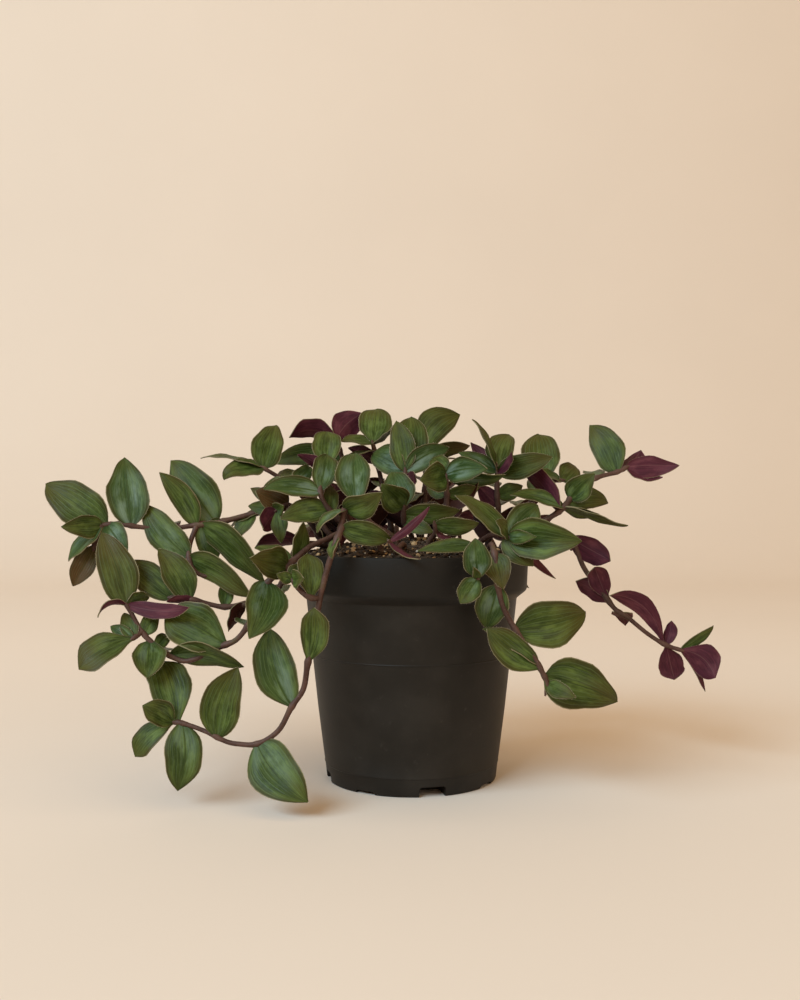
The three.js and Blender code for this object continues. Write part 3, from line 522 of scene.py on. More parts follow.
def hidden_stem(growth):
    draw = even_draws(growth["seed"])
    out = heading_vector(growth["heading"])
    side = out.cross(UP)
    x, y = (out * (growth["arch"][0][0] - FOOT_INWARD)).xy
    reach, line = rooted_line(x, y, [out * far + UP * height for far, height in growth["arch"]])
    top = len(reach) - 1
    blades = []
    for index in range(growth["count"]):
        place = LEAF_START + (top - LEAF_START) * (index + 1) / growth["count"]
        start = seated(line, along(reach, place))
        ahead, behind = along(reach, min(place + LOOK_AHEAD, top)), along(reach, place - LOOK_AHEAD)
        onward = (ahead - behind).normalized()
        last = index == growth["count"] - 1
        hand = 1 if index % 2 else -1
        sideways = (LAST_SPREAD if last else LEAF_SPREAD) * hand * between((0.85, 1.15), next(draw))
        way = onward * (1 if last else LEAF_FORWARD) + side * sideways
        way += UP * (LEAF_RAISE * between((0.6, 1.4), next(draw)))
        length = between(growth["lengths"], next(draw))
        facing = UP * 0.75 + out * (0.35 + 0.5 * max(0, -onward.z))
        blades.append(level_blade(start, start + way.normalized() * length, facing))
    return dict(name=growth["name"], lines=[line], blades=blades)


# ---- What a user would change -------------------------------------------------------------------


class PotSettings(bpy.types.PropertyGroup):
    sides: bpy.props.IntProperty(name="Sides", description="Flat sides round the pot", default=96, min=24)
    ridge: bpy.props.FloatProperty(
        name="Mould ridge", description="How far a mould line stands out, in millimetres", default=0.22)
    colour: bpy.props.FloatVectorProperty(
        name="Plastic", description="Colour of the pot", subtype="COLOR", size=3,
        default=(0.0108, 0.0086, 0.0062))


class SoilSettings(bpy.types.PropertyGroup):
    crumbs: bpy.props.IntProperty(name="Crumbs", description="Number of dark crumbs", default=1300, min=0)
    pebbles: bpy.props.IntProperty(name="Grit", description="Number of tan grit pieces", default=300, min=0)
    flecks: bpy.props.IntProperty(name="Flecks", description="Number of white flecks", default=90, min=0)
    colour: bpy.props.FloatVectorProperty(
        name="Soil", description="Colour of the dark soil", subtype="COLOR", size=3,
        default=(0.022, 0.014, 0.009))


class FoliageSettings(bpy.types.PropertyGroup):
    stem_radius: bpy.props.FloatProperty(
        name="Stem radius", description="Radius of a stem between its nodes, in millimetres", default=1.4)
    node_swell: bpy.props.FloatProperty(
        name="Node swell", description="How much thicker a stem is where a leaf starts", default=0.36)
    thickness: bpy.props.FloatProperty(
        name="Blade thickness", description="Thickness of a leaf blade, in millimetres", default=0.42)
    hair_length: bpy.props.FloatProperty(
        name="Hair length", description="Longest hair on a leaf's edge, in millimetres", default=0.75)
    green: bpy.props.FloatVectorProperty(
        name="Leaf green", description="Colour of a leaf's upper face", subtype="COLOR", size=3,
        default=(0.054, 0.090, 0.0120))
    plum: bpy.props.FloatVectorProperty(
        name="Leaf plum", description="Colour of a leaf's underside", subtype="COLOR", size=3,
        default=(0.080, 0.017, 0.029))
    bark: bpy.props.FloatVectorProperty(
        name="Stem", description="Colour of a stem", subtype="COLOR", size=3, default=(0.057, 0.027, 0.019))


class StudioSettings(bpy.types.PropertyGroup):
    backdrop: bpy.props.FloatVectorProperty(
        name="Backdrop", description="Colour of the floor and the wall", subtype="COLOR", size=3,
        default=(0.783, 0.698, 0.615))
    key_power: bpy.props.FloatProperty(name="Key light", description="Power of the large light, in watts",
                                       default=165.0, unit="POWER")
    fill_power: bpy.props.FloatProperty(name="Fill light", description="Power of the weak light, in watts",
                                        default=5.0, unit="POWER")
    wall_power: bpy.props.FloatProperty(name="Wall light", description="Power of the wall's light, in watts",
                                        default=5.0, unit="POWER")
    lens: bpy.props.FloatProperty(name="Lens", description="Focal length of the camera, in millimetres",
                                  default=38.9, unit="CAMERA")


# ---- Helpers ------------------------------------------------------------------------------------


def deselect():
    if bpy.context.object and bpy.context.object.mode != "OBJECT":
        bpy.ops.object.mode_set(mode="OBJECT")
    bpy.ops.object.select_all(action="DESELECT")


def pick(*pieces):
    deselect()
    for piece in pieces:
        piece.select_set(True)
    bpy.context.view_layer.objects.active = pieces[0]


def named(name):
    """Names the object that was just added or joined."""
    piece = bpy.context.object
    piece.name = piece.data.name = name
    return piece


def placed(name, data):
    piece = bpy.data.objects.new(name, data)
    bpy.context.scene.collection.objects.link(piece)
    return piece


def modelled(name, corners, faces, *finishes):
    """A piece from its corners, in millimetres, and its faces."""
    mesh = bpy.data.meshes.new(name)
    mesh.from_pydata((corners * MM).tolist(), [], faces.tolist())
    for finish in finishes:
        mesh.materials.append(finish)
    return placed(name, mesh)


def taken_apart():
    """The corners and faces of the object that was just added, which goes away again."""
    shape = bpy.context.object
    corners = np.array([tuple(vertex.co) for vertex in shape.data.vertices])
    faces = np.array([tuple(face.vertices) for face in shape.data.polygons])
    bpy.data.objects.remove(shape)
    return corners, faces


def repeated(faces, corner_count, copies):
    """The faces of several copies of a shape, their corners numbered on from copy to copy."""
    return np.vstack([faces + corner_count * index for index in range(copies)])


def give_values(piece, name, values):
    """Stores one number at each corner of a piece."""
    attribute = piece.data.attributes.new(name, "FLOAT", "POINT")
    attribute.data.foreach_set("value", np.asarray(values, np.float32))


def unit(vectors):
    return vectors / np.maximum(np.linalg.norm(vectors, axis=-1, keepdims=True), 1e-9)


def apply_modifier(piece, kind, **values):
    pick(piece)
    modifier = piece.modifiers.new(kind.title(), kind)
    for key, value in values.items():
        setattr(modifier, key, value)
    bpy.ops.object.modifier_apply(modifier=modifier.name)


def joined(name, pieces):
    pick(*pieces)
    bpy.ops.object.join()
    return named(name)


def choose_corners(piece, chosen):
    """Goes into edit mode with only the chosen corners selected."""
    pick(piece)
    bpy.ops.object.mode_set(mode="EDIT")
    bpy.ops.mesh.select_all(action="DESELECT")
    bpy.ops.object.mode_set(mode="OBJECT")
    for vertex in piece.data.vertices:
        vertex.select = chosen(vertex)
    bpy.ops.object.mode_set(mode="EDIT")


def turn_faces_outwards(piece):
    pick(piece)
    bpy.ops.object.mode_set(mode="EDIT")
    bpy.ops.mesh.select_all(action="SELECT")
    bpy.ops.mesh.normals_make_consistent(inside=False)
    bpy.ops.object.mode_set(mode="OBJECT")


def ring_shell(name, profile, sides):
    """A closed shell drawn up ring by ring from one circle: profile is (radius, height)."""
    deselect()
    radius, height = profile[0]
    bpy.ops.mesh.primitive_circle_add(vertices=sides, radius=radius * MM, location=(0, 0, height * MM))
    shell = named(name)
    bpy.ops.object.transform_apply(location=True, rotation=False, scale=False)
    bpy.ops.object.mode_set(mode="EDIT")
    bpy.ops.mesh.select_all(action="SELECT")
    for (low, bottom), (wide, top) in zip(profile, profile[1:]):
        bpy.ops.mesh.extrude_region_move(TRANSFORM_OT_translate={"value": (0, 0, (top - bottom) * MM)})
        bpy.ops.transform.resize(value=(wide / low, wide / low, 1), center_override=(0, 0, top * MM))
    bpy.ops.mesh.edge_face_add()
    choose_corners(shell, lambda vertex: vertex.index < sides)
    bpy.ops.mesh.edge_face_add()
    turn_faces_outwards(shell)
    return shell


def out_from_axis(angle, reach, height):
    """A place in metres, at a distance from the axis in a direction given in degrees."""
    way = math.radians(angle)
    return reach * MM * math.cos(way), reach * MM * math.sin(way), height * MM


def block(size, angle, reach, base, rounding=0.0):
    """A box that stands at a distance from the axis and faces it."""
    deselect()
    bpy.ops.mesh.primitive_cube_add(size=1)
    box = named("block")
    box.scale = [length * MM for length in size]
    box.rotation_euler = (0, 0, math.radians(angle) - math.pi / 2)
    box.location = out_from_axis(angle, reach, base + size[2] / 2)
    bpy.ops.object.transform_apply(location=True, rotation=True, scale=True)
    if rounding:
        apply_modifier(box, "BEVEL", width=rounding * MM, segments=3, limit_method="ANGLE")
    return box


def drill(angle, reach):
    deselect()
    bpy.ops.mesh.primitive_cylinder_add(vertices=24, radius=DRAIN_RADIUS * MM, depth=DRILL_LENGTH * MM,
                                        location=out_from_axis(angle, reach, DRILL_HEIGHT))
    bpy.ops.object.transform_apply(location=True, rotation=False, scale=False)
    return named("drill")


def combine(piece, tool, how):
    apply_modifier(piece, "BOOLEAN", object=tool, operation=how, solver="EXACT")
    bpy.data.objects.remove(tool)


def smooth(piece, degrees):
    pick(piece)
    bpy.ops.object.shade_smooth_by_angle(angle=math.radians(degrees))


def settle(piece, slot, *nodes):
    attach(piece, BODY)
    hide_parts(*nodes)


# ---- Finishes -----------------------------------------------------------------------------------

# A mix node has sockets of several kinds. These are its share, its two colours and its result.
MIX_SHARE, MIX_FIRST, MIX_SECOND, MIX_RESULT = 0, 6, 7, 2

DUST = (0.10, 0.092, 0.080)
COOL_GREEN = (0.032, 0.073, 0.023)
OLIVE = (0.062, 0.052, 0.0085)
RUST = (0.078, 0.036, 0.010)
# brown edge colour, also used as painted shade towards the margin
BROWN_EDGE_AND_SHADE = (0.045, 0.030, 0.010)
# silvery pattern beside the midrib, together with a painted sheen
SILVER_AND_PAINTED_SHEEN = (0.21, 0.29, 0.235)
VEIN_GREEN = (0.12, 0.17, 0.075)
PALE_SPECK = (0.33, 0.36, 0.27)
PALE_MARGIN = (0.24, 0.210, 0.115)
PINK_MIDRIB = (0.16, 0.075, 0.07)
LEAF_BROWN = (0.050, 0.018, 0.009)
# colour of the painted shade on leaf undersides in the core of the crown
SHADED_CORE_LEAF = (0.010, 0.005, 0.004)
PINK_MARGIN = (0.24, 0.15, 0.10)
MARGIN_COLOURS = ((0.20, 0.170, 0.090), (0.12, 0.115, 0.045))
STEM_OLIVE = (0.085, 0.070, 0.028)
STEM_NODE = (0.14, 0.080, 0.058)
# colour of the painted shade on stems in the core of the crown
SHADED_CORE_STEM = (0.014, 0.008, 0.006)
STEM_FLECK = (0.20, 0.14, 0.11)
HAIR_COLOURS = ((0.52, 0.42, 0.34), (0.42, 0.28, 0.25))
VEIN_COUNT = 10


def scaled(colour, shares):
    """A colour with all its channels multiplied by one share, or by one each."""
    return tuple(np.array(tuple(colour)) * shares)


class Field:
    """A value that varies over a surface: one output of a shader node."""

    def __init__(self, finish, socket):
        self.finish, self.socket = finish, socket

    def math(self, how, *others):
        return self.finish.node("ShaderNodeMath", dict(enumerate((self, *others))), operation=how)

    def __mul__(self, other):
        return self.math("MULTIPLY", other)

    def __add__(self, other):
        return self.math("ADD", other)

    def ramp(self, low, high, start=0.0, end=1.0):
        """Goes smoothly from start to end while this value goes from low to high."""
        ends = {"Value": self, "From Min": low, "From Max": high, "To Min": start, "To Max": end}
        return self.finish.node("ShaderNodeMapRange", ends, interpolation_type="SMOOTHSTEP")


class Finish:
    """A material under construction, whose colours are laid one over another."""

    def __init__(self, name, roughness, **sockets):
        self.material = bpy.data.materials.new(name)
        self.material.use_nodes = True
        self.tree = self.material.node_tree
        self.body = None
        for key, value in dict(Roughness=roughness, **sockets).items():
            self.set(key.replace("_", " "), value)

    def set(self, key, value):
        self.put(self.tree.nodes["Principled BSDF"].inputs[key], value)

    def put(self, socket, value):
        if isinstance(value, Field):
            self.tree.links.new(value.socket, socket)
        else:
            socket.default_value = (*value, 1.0) if isinstance(value, tuple) else value

    def node(self, kind, inputs, output=0, **settings):
        made = self.tree.nodes.new(kind)
        for key, value in settings.items():
            setattr(made, key, value)
        for key, value in inputs.items():
            self.put(made.inputs[key], value)
        return Field(self, made.outputs[output])

    def noise(self, vector, scale, detail=3.0, roughness=0.55):
        grain = {"Vector": vector, "Scale": scale, "Detail": detail, "Roughness": roughness}
        return self.node("ShaderNodeTexNoise", grain, "Fac")

    def place(self):
        return self.node("ShaderNodeTexCoord", {}, "Object")

    def parts(self, vector):
        """The X, Y and Z of a vector."""
        split = self.node("ShaderNodeSeparateXYZ", {"Vector": vector}).socket.node
        return [Field(self, output) for output in split.outputs]

    def attribute(self, name):
        return self.node("ShaderNodeAttribute", {}, "Fac", attribute_name=name, attribute_type="GEOMETRY")

    def mix(self, share, first, second):
        return self.node("ShaderNodeMix", {MIX_SHARE: share, MIX_FIRST: first, MIX_SECOND: second},
                         MIX_RESULT, data_type="RGBA")

    def lay(self, share, colour):
        """Covers what is there with a colour, as far as share says."""
        self.body = self.mix(share, self.body, colour)

    def bump(self, height, strength, distance):
        relief = {"Height": height, "Strength": strength, "Distance": distance * MM}
        self.set("Normal", self.node("ShaderNodeBump", relief))

    def painted(self):
        self.set("Base Color", self.body)
        return self.material


def mottled(name, roughness, grain, limits, first, second, relief=None, **sockets):
    """Two colours in soft patches."""
    finish = Finish(name, roughness, **sockets)
    patches = finish.noise(finish.place(), *grain)
    finish.body = finish.mix(patches.ramp(*limits), first, second)
    if relief:
        finish.bump(patches, *relief)
    return finish.painted()


def earth_finish(name, dark, pale, scale):
    return mottled(name, 0.93, (scale, 6.0, 0.65), (0.35, 0.68), dark, pale, (0.7, 0.6),
                   Specular_IOR_Level=0.25)


def paper_finish(colour):
    """Painted studio paper with a very faint mottle."""
    return mottled("studio_paper", 0.95, (3.0, 2.0), (0.3, 0.7), tuple(colour), scaled(colour, 0.985),
                   Specular_IOR_Level=0.1)


def plastic_finish(colour):
    """Matt moulded plastic with dust in its fine grain, and painted shade darkening its collar."""
    finish = Finish("moulded_black_plastic", 0.5, Specular_IOR_Level=0.24)
    place = finish.place()
    cloud = finish.noise(place, 38.0, 4.0)
    grain = finish.noise(place, 900.0, 2.0)
    dust = finish.noise(place, 260.0, 5.0, 0.7).ramp(0.60, 0.78)
    pale = tuple(min(1.0, channel * 1.5 + 0.003) for channel in colour)
    finish.body = finish.mix(cloud.ramp(0.35, 0.7), tuple(colour), pale)
    height = finish.parts(place)[2]
    # painted shade: the collar is darkened as if shaded by the leaves above
    finish.lay(height.ramp(0.090, 0.098), scaled(colour, 0.68))
    finish.lay(dust * 0.16, DUST)
    finish.set("Roughness", cloud.ramp(0.2, 0.8, 0.47, 0.57))
    finish.bump(grain * 0.5 + cloud, 0.16, 0.35)
    return finish.painted()


def blade_map(finish):
    """Across a blade from edge to edge, along it from its foot, and out from its midrib: 0 to 1 each."""
    u, v, _ = finish.parts(finish.node("ShaderNodeUVMap", {}, uv_map="blade_map"))
    return u, v, (u * 2.0).math("SUBTRACT", 1.0).math("ABSOLUTE")


def streaks(finish, u, v, wide, long):
    """Noise drawn out along the blade, different on every leaf."""
    shift = finish.attribute("leaf_draw") * 37.0
    vector = finish.node("ShaderNodeCombineXYZ", {"X": u * wide, "Y": v * long, "Z": shift})
    return finish.noise(vector, 1.0, 4.0, 0.6)


def crown_core_shade(finish):
    """Painted shade inside the crown: 1 close above the soil in its core, 0 in its outer and front parts."""
    x, y, z = finish.parts(finish.place())
    reach = (x * x + y * y).math("SQRT")
    return reach.ramp(0.066, 0.050) * y.ramp(-0.034, -0.018) * z.ramp(0.158, 0.122)


def upper_finish(green):
    """Satin green from deep to olive, streaked lengthwise, with painted shade at the foot and towards the
    brown edge; silvery beside the midrib of some leaves, a silvery pattern with a painted sheen.
    """
    finish = Finish("leaf_upper_face", 0.42, Specular_IOR_Level=0.15)
    u, v, across = blade_map(finish)
    tone, draw = finish.attribute("leaf_tone"), finish.attribute("leaf_draw")
    fine, broad = streaks(finish, u, v, 38.0, 2.6), streaks(finish, u, v, 4.0, 2.6)
    blot, grain = streaks(finish, u, v, 2.2, 1.6), streaks(finish, u, v, 60.0, 11.0)
    deep, bright = scaled(green, 0.36), scaled(green, (2.3, 2.0, 2.9))
    finish.body = finish.mix(fine.ramp(0.38, 0.62), deep, tuple(green))
    finish.lay(broad.ramp(0.40, 0.68) * 0.8, bright)
    # random darker blots, and painted shade darkening each leaf towards its foot
    finish.lay(blot.ramp(0.54, 0.38) * 0.6 + v.ramp(0.16, 0.0) * 0.5, deep)
    cool = tone.ramp(0.32, 0.0)
    finish.lay(cool * 0.55, COOL_GREEN)
    finish.lay(grain.ramp(0.58, 0.74) * 0.45, bright)
    finish.lay(grain.ramp(0.44, 0.30) * 0.55, deep)
    rust = (v.ramp(0.25, 1.0) * 0.5 + blot + tone).ramp(0.80, 1.60)
    finish.lay(rust * 0.85, OLIVE)
    finish.lay(rust * tone.ramp(0.5, 0.85), RUST)
    # the brown edge colour, spread inwards as painted shade darkening towards the margin
    finish.lay(across.ramp(0.60, 0.98) * 0.60, BROWN_EDGE_AND_SHADE)
    band = across.ramp(0.01, 0.14) * across.ramp(0.85, 0.4) * v.ramp(0.85, 0.35)
    # silvery pattern beside the midrib, brightened into a painted sheen
    finish.lay(band * blot.ramp(0.40, 0.62) * (cool * 0.66 + 0.07), SILVER_AND_PAINTED_SHEEN)
    veins = (u * (2 * math.pi * VEIN_COUNT) + broad * 4.0).math("SINE")
    finish.lay(veins.ramp(0.72, 1.0) * 0.30, VEIN_GREEN)
    finish.lay(across.ramp(0.045, 0.0) * 0.7, deep)
    finish.lay(streaks(finish, u, v, 16.0, 40.0).ramp(0.72, 0.78) * 0.5, PALE_SPECK)
    finish.lay(across.ramp(0.945, 0.99) * draw.ramp(-0.3, 1.0, 0.35, 1.0), PALE_MARGIN)
    finish.set("Roughness", broad.ramp(0.3, 0.7, 0.34, 0.52))
    finish.bump(veins * 0.08 + fine, 0.5, 0.4)
    return finish.painted()


def under_finish(plum):
    """Plum underside, paler along the veins, browner on some leaves."""
    finish = Finish("leaf_underside", 0.55, Specular_IOR_Level=0.13)
    u, v, across = blade_map(finish)
    fine, broad = streaks(finish, u, v, 24.0, 2.0), streaks(finish, u, v, 3.0, 2.4)
    finish.body = finish.mix(fine.ramp(0.35, 0.7), scaled(plum, 0.6), tuple(plum))
    finish.lay(broad.ramp(0.42, 0.7) * 0.7, scaled(plum, (1.7, 2.3, 1.7)))
    finish.lay(across.ramp(0.05, 0.0) * 0.5, PINK_MIDRIB)
    finish.lay(finish.attribute("leaf_tone").ramp(0.3, 1.0) * 0.8, LEAF_BROWN)
    # painted shade: darkens the undersides in the core of the crown
    finish.lay(crown_core_shade(finish) * 0.7, SHADED_CORE_LEAF)
    finish.lay(across.ramp(0.95, 0.99) * 0.6, PINK_MARGIN)
    finish.bump(fine, 0.3, 0.3)
    return finish.painted()


def bark_finish(colour):
    """Purple-brown stem, streaked and greener in patches, paler at its nodes."""
    finish = Finish("stem_skin", 0.5, Specular_IOR_Level=0.2)
    place = finish.place()
    patches, fine = finish.noise(place, 95.0, 5.0, 0.6), finish.noise(place, 800.0, 3.0)
    finish.body = finish.mix(patches.ramp(0.38, 0.6), tuple(colour), scaled(colour, (1.7, 1.8, 1.9)))
    finish.lay(patches.ramp(0.56, 0.72) * 0.7, STEM_OLIVE)
    finish.lay(finish.attribute("near_node").ramp(0.2, 1.0) * 0.3, STEM_NODE)
    # painted shade: darkens the stems in the core of the crown
    finish.lay(crown_core_shade(finish) * 0.6, SHADED_CORE_STEM)
    finish.lay(fine.ramp(0.52, 0.75) * 0.18, STEM_FLECK)
    finish.bump(patches + fine, 0.4, 0.4)
    return finish.painted()


# ---- Leaves, stems and hairs --------------------------------------------------------------------

# Where a blade's rows lie along it and its columns across it, and its half width at places along it.
STATIONS = (0.0, 0.03, 0.07, 0.13, 0.2, 0.28, 0.37, 0.46, 0.55, 0.64, 0.72, 0.79, 0.85, 0.9, 0.945,
            0.98, 1.0)
COLUMNS = (-1.0, -0.82, -0.52, -0.24, 0.0, 0.24, 0.52, 0.82, 1.0)
OUTLINE = ((0, 0.14), (0.03, 0.34), (0.08, 0.58), (0.16, 0.81), (0.26, 0.95), (0.37, 1.0),
           (0.48, 0.985), (0.6, 0.9), (0.7, 0.775), (0.8, 0.585), (0.88, 0.385), (0.94, 0.205),
           (0.98, 0.075), (1, 0.012))
LOPSIDED = 0.16
OUTLINE_WAVE = 0.035
MARGIN_ROLL = 0.16
RUFFLE = 0.026
BLADE_TWIST = 0.45
CURL_START = 0.62
TAPER_START = 0.55
USUAL_TONES = (0.1, 0.6)

NODE_LENGTH = 1.9
NODE_TINT_LENGTH = 3.2
STEM_TAPER = 0.25
STEM_END = (0.35, 0.82, 1.0)
TWIG_SHARE = 0.9
FIRST_STEM_SEED = 100

HAIR_RADIUS = 0.036
HAIR_SPACING = 0.62
HAIR_STRAY = 0.22
EDGE_HAIR_SLANT, STEM_HAIR_SLANT = 0.7, 0.3
HAIR_ROOT = 0.92  # how far out in a stem its hairs start
HAIR_FACES = np.array([(0, 1, 3), (1, 2, 3), (2, 0, 3), (0, 2, 1)])
EDGE_HAIRS = (0.35, 1.0)
STEM_HAIRS = (0.3, 0.8)
STEM_HAIRS_PER_STEP = 3
BARE_STEPS = 4


def half_width(share, sharp):
    """A blade's half width as a share of its greatest one; sharp draws its tip out."""
    taper = sharp * np.clip(share - TAPER_START, 0, 1) * 4 * (1 - share)
    return np.interp(share, *zip(*OUTLINE)) * (1 - taper)


def pattern_blade():
    """The points and faces of one flat blade, a unit long and two wide, that every leaf is bent from."""
    rows, columns = len(STATIONS) - 1, len(COLUMNS) - 1
    deselect()
    bpy.ops.mesh.primitive_grid_add(x_subdivisions=rows, y_subdivisions=columns, size=2)
    grid, faces = taken_apart()
    row, column = ((grid[:, :2] + 1) / 2 * (rows, columns)).round().astype(int).T
    return np.column_stack([np.take(STATIONS, row), np.take(COLUMNS, column)]), faces


def curled_midrib(curl):
    """At every station: how far the midrib has turned back, and how far on and back that carries it."""
    stops = np.array(STATIONS)
    turn = np.radians(curl) * np.clip((stops - CURL_START) / (1 - CURL_START), 0, 1) ** 1.4
    steps, middle = np.diff(stops), (turn[1:] + turn[:-1]) / 2
    reach = np.concatenate([[0], np.cumsum(np.cos(middle) * steps)])
    drop = np.concatenate([[0], np.cumsum(np.sin(middle) * steps)])
    return turn, reach, drop


def bent_blade(flat, one, draw):
    """The pattern's points, laid out, folded and arched as one leaf."""
    foot, tip, facing = (np.array(one[key]) for key in ("foot", "tip", "facing"))
    length = np.linalg.norm(tip - foot)
    axis = (tip - foot) / length
    up = unit(facing - axis * facing.dot(axis))
    side = np.cross(up, axis)
    share, across = flat.T
    outward = np.abs(across)
    sharp = 0.9 * draw[2] - 0.35 - 1.3 * one["blunt"]
    half = one["width"] / 2 * half_width(share ** (1 + one["blunt"]), sharp)
    half *= 1 + (draw[1] - 0.5) * LOPSIDED * across
    half *= 1 + OUTLINE_WAVE * np.sin(share * (9 + 6 * draw[0]) + 6 * draw[3] + across * 1.3)
    lift = np.arctan(one["fold"] * between((0.75, 1.25), draw[4]))
    pull = half * across * np.cos(lift)
    rise = half * (outward ** 1.5 * np.sin(lift) - outward ** 4 * MARGIN_ROLL * draw[5])
    ripple = np.sin(share * (11 + 8 * draw[0]) + draw[1] * 6 + (across > 0) * 2.4)
    rise += ripple * outward ** 2.5 * one["width"] * RUFFLE * np.clip(share * 5, 0, 1)
    twist = (draw[4] - 0.5) * BLADE_TWIST * (share - 0.2)
    pull, rise = pull * np.cos(twist) - rise * np.sin(twist), rise * np.cos(twist) + pull * np.sin(twist)
    arch = 4 * share * (1 - share)
    rise += BLADE_ARCH * length * arch
    station = np.searchsorted(STATIONS, share)
    bend, reach, drop = (values[station] for values in curled_midrib(one["curl"]))
    onward = length * reach + rise * np.sin(bend)
    upward = rise * np.cos(bend) - length * drop
    moves = ((onward, axis), (pull, side), (upward, up), (arch, np.array(one["swing"])))
    return foot + sum(amount[:, None] * way for amount, way in moves)


def add_blades(name, pattern, blades, draws, thickness, finishes):
    """All blades of one stem as bent copies of the pattern, given their thickness together."""
    flat, faces = pattern
    count = len(flat)
    places = np.array([bent_blade(flat, one, draw) for one, draw in zip(blades, draws)])
    piece = modelled(name, places.reshape(-1, 3), repeated(faces, count, len(blades)), *finishes)
    corners = np.zeros(len(piece.data.loops), int)
    piece.data.loops.foreach_get("vertex_index", corners)
    share, across = flat[corners % count].T
    spots = np.column_stack([(across + 1) / 2, share]).astype(np.float32)
    piece.data.uv_layers.new(name="blade_map").data.foreach_set("uv", spots.ravel())
    tones = [between(USUAL_TONES, draw[5]) if one["tone"] is None else one["tone"]
             for one, draw in zip(blades, draws)]
    give_values(piece, "leaf_tone", np.repeat(tones, count))
    give_values(piece, "leaf_draw", np.repeat(draws[:, 5], count))
    apply_modifier(piece, "SOLIDIFY", thickness=thickness * MM, offset=0.0, use_rim=True,
                   material_offset=1, material_offset_rim=2)
    return piece, places


def add_stem(name, line, radius, feet, swell, finish):
    """A round stem along its middle line, thicker at each node and thinner towards its end."""
    curve = bpy.data.curves.new(name, "CURVE")
    curve.dimensions = "3D"
    curve.bevel_depth = radius * MM
    curve.bevel_resolution = 2
    curve.use_fill_caps = True
    curve.materials.append(finish)
    spline = curve.splines.new("POLY")
    last = len(line) - 1
    spline.points.add(last)
    for index, (point, stop) in enumerate(zip(spline.points, line)):
        near = min((stop - foot).length for foot in feet)
        size = 1 + swell * math.exp(-((near / NODE_LENGTH) ** 2))
        size *= 1 - STEM_TAPER * max(0.0, (index / last - 0.5) * 2)
        size *= STEM_END[min(2, last - index)]
        point.co = (*(stop * MM), 1)
        point.radius = size
    pick(placed(name, curve))
    bpy.ops.object.convert(target="MESH")
    piece = bpy.context.object
    places = np.array([tuple(vertex.co) for vertex in piece.data.vertices])
    near = np.linalg.norm(places[:, None] - np.array(feet)[None] * MM, axis=2).min(axis=1) / MM
    give_values(piece, "near_node", np.exp(-((near / NODE_TINT_LENGTH) ** 2)))
    return piece


def add_hairs(name, hairs, finish):
    """Fine pointed hairs, each a three-sided spike that stands on its root."""
    roots, ways, lengths = (np.array(values) for values in zip(*hairs))
    ways = unit(ways)
    first = unit(np.cross(ways, np.where(np.abs(ways[:, 2:]) < 0.9, [[0, 0, 1.0]], [[1.0, 0, 0]])))
    second = np.cross(ways, first)
    points = [roots + (first * math.cos(angle) + second * math.sin(angle)) * HAIR_RADIUS
              for angle in (0, 2 * math.pi / 3, 4 * math.pi / 3)]
    points.append(roots + ways * lengths[:, None])
    corners = np.stack(points, axis=1).reshape(-1, 3)
    return modelled(name, corners, repeated(HAIR_FACES, len(points), len(roots)), finish)


def edge_hairs(places, order, longest, chance):
    """Root, way and length of every hair round one blade's edge."""
    grid = places[order].reshape(len(STATIONS), len(COLUMNS), 3)
    for edge, inner in ((0, 1), (-1, -2)):
        for row in range(1, len(STATIONS) - 1):
            start, end = grid[row][edge], grid[row + 1][edge]
            outward, onward = unit(start - grid[row][inner]), unit(end - start)
            for _ in range(max(1, int(np.linalg.norm(end - start) / HAIR_SPACING))):
                share = chance.random()
                stray = chance.normal(0, HAIR_STRAY, 3)
                yield (start + (end - start) * share, outward + onward * EDGE_HAIR_SLANT + stray,
                       longest * between(EDGE_HAIRS, chance.random()))


def stem_hairs(line, radius, longest, chance):
    for start, end in zip(line[BARE_STEPS:], line[BARE_STEPS + 1:]):
        onward = np.array((end - start).normalized())
        for _ in range(STEM_HAIRS_PER_STEP):
            stray = chance.normal(0, 1, 3)
            outward = unit(stray - onward * stray.dot(onward))
            root = np.array(start.lerp(end, chance.random())) + outward * radius * HAIR_ROOT
            yield root, outward + onward * STEM_HAIR_SLANT, longest * between(STEM_HAIRS, chance.random())


# ---- Operators ----------------------------------------------------------------------------------

# Each light: its place, what it points at, its width and height, all in metres, and its colour.
LIGHTS = {
    "key": ((-2.30, -2.35, 2.45), (0.05, 0.0, 0.08), (3.4, 1.4), (0.587, 0.828, 1.0)),
    "fill": ((0.9, -1.5, 0.8), (0.0, 0.0, 0.10), (1.4, 1.2), (1.0, 0.93, 0.86)),
    "wall": ((0.0, 0.35, 2.2), (-0.1, 2.1, 0.9), (2.6, 0.8), (1.0, 0.90, 0.78)),
}
ROOM_COLOUR = (1.0, 0.644, 0.303, 1.0)
ROOM_STRENGTH = 0.61
SENSOR_WIDTH = 36
# The studio paper, in metres: the sheet on the floor, the way on to the wall, the wall and the curve.
PAPER_SIZE = (7.0, 3.4, 1)
PAPER_MIDDLE = (0, -0.5, 0)
PAPER_ONWARD = 0.9
PAPER_RISE = 3.2
PAPER_CURVE = 0.85
WALL_DISTANCE = 2.1


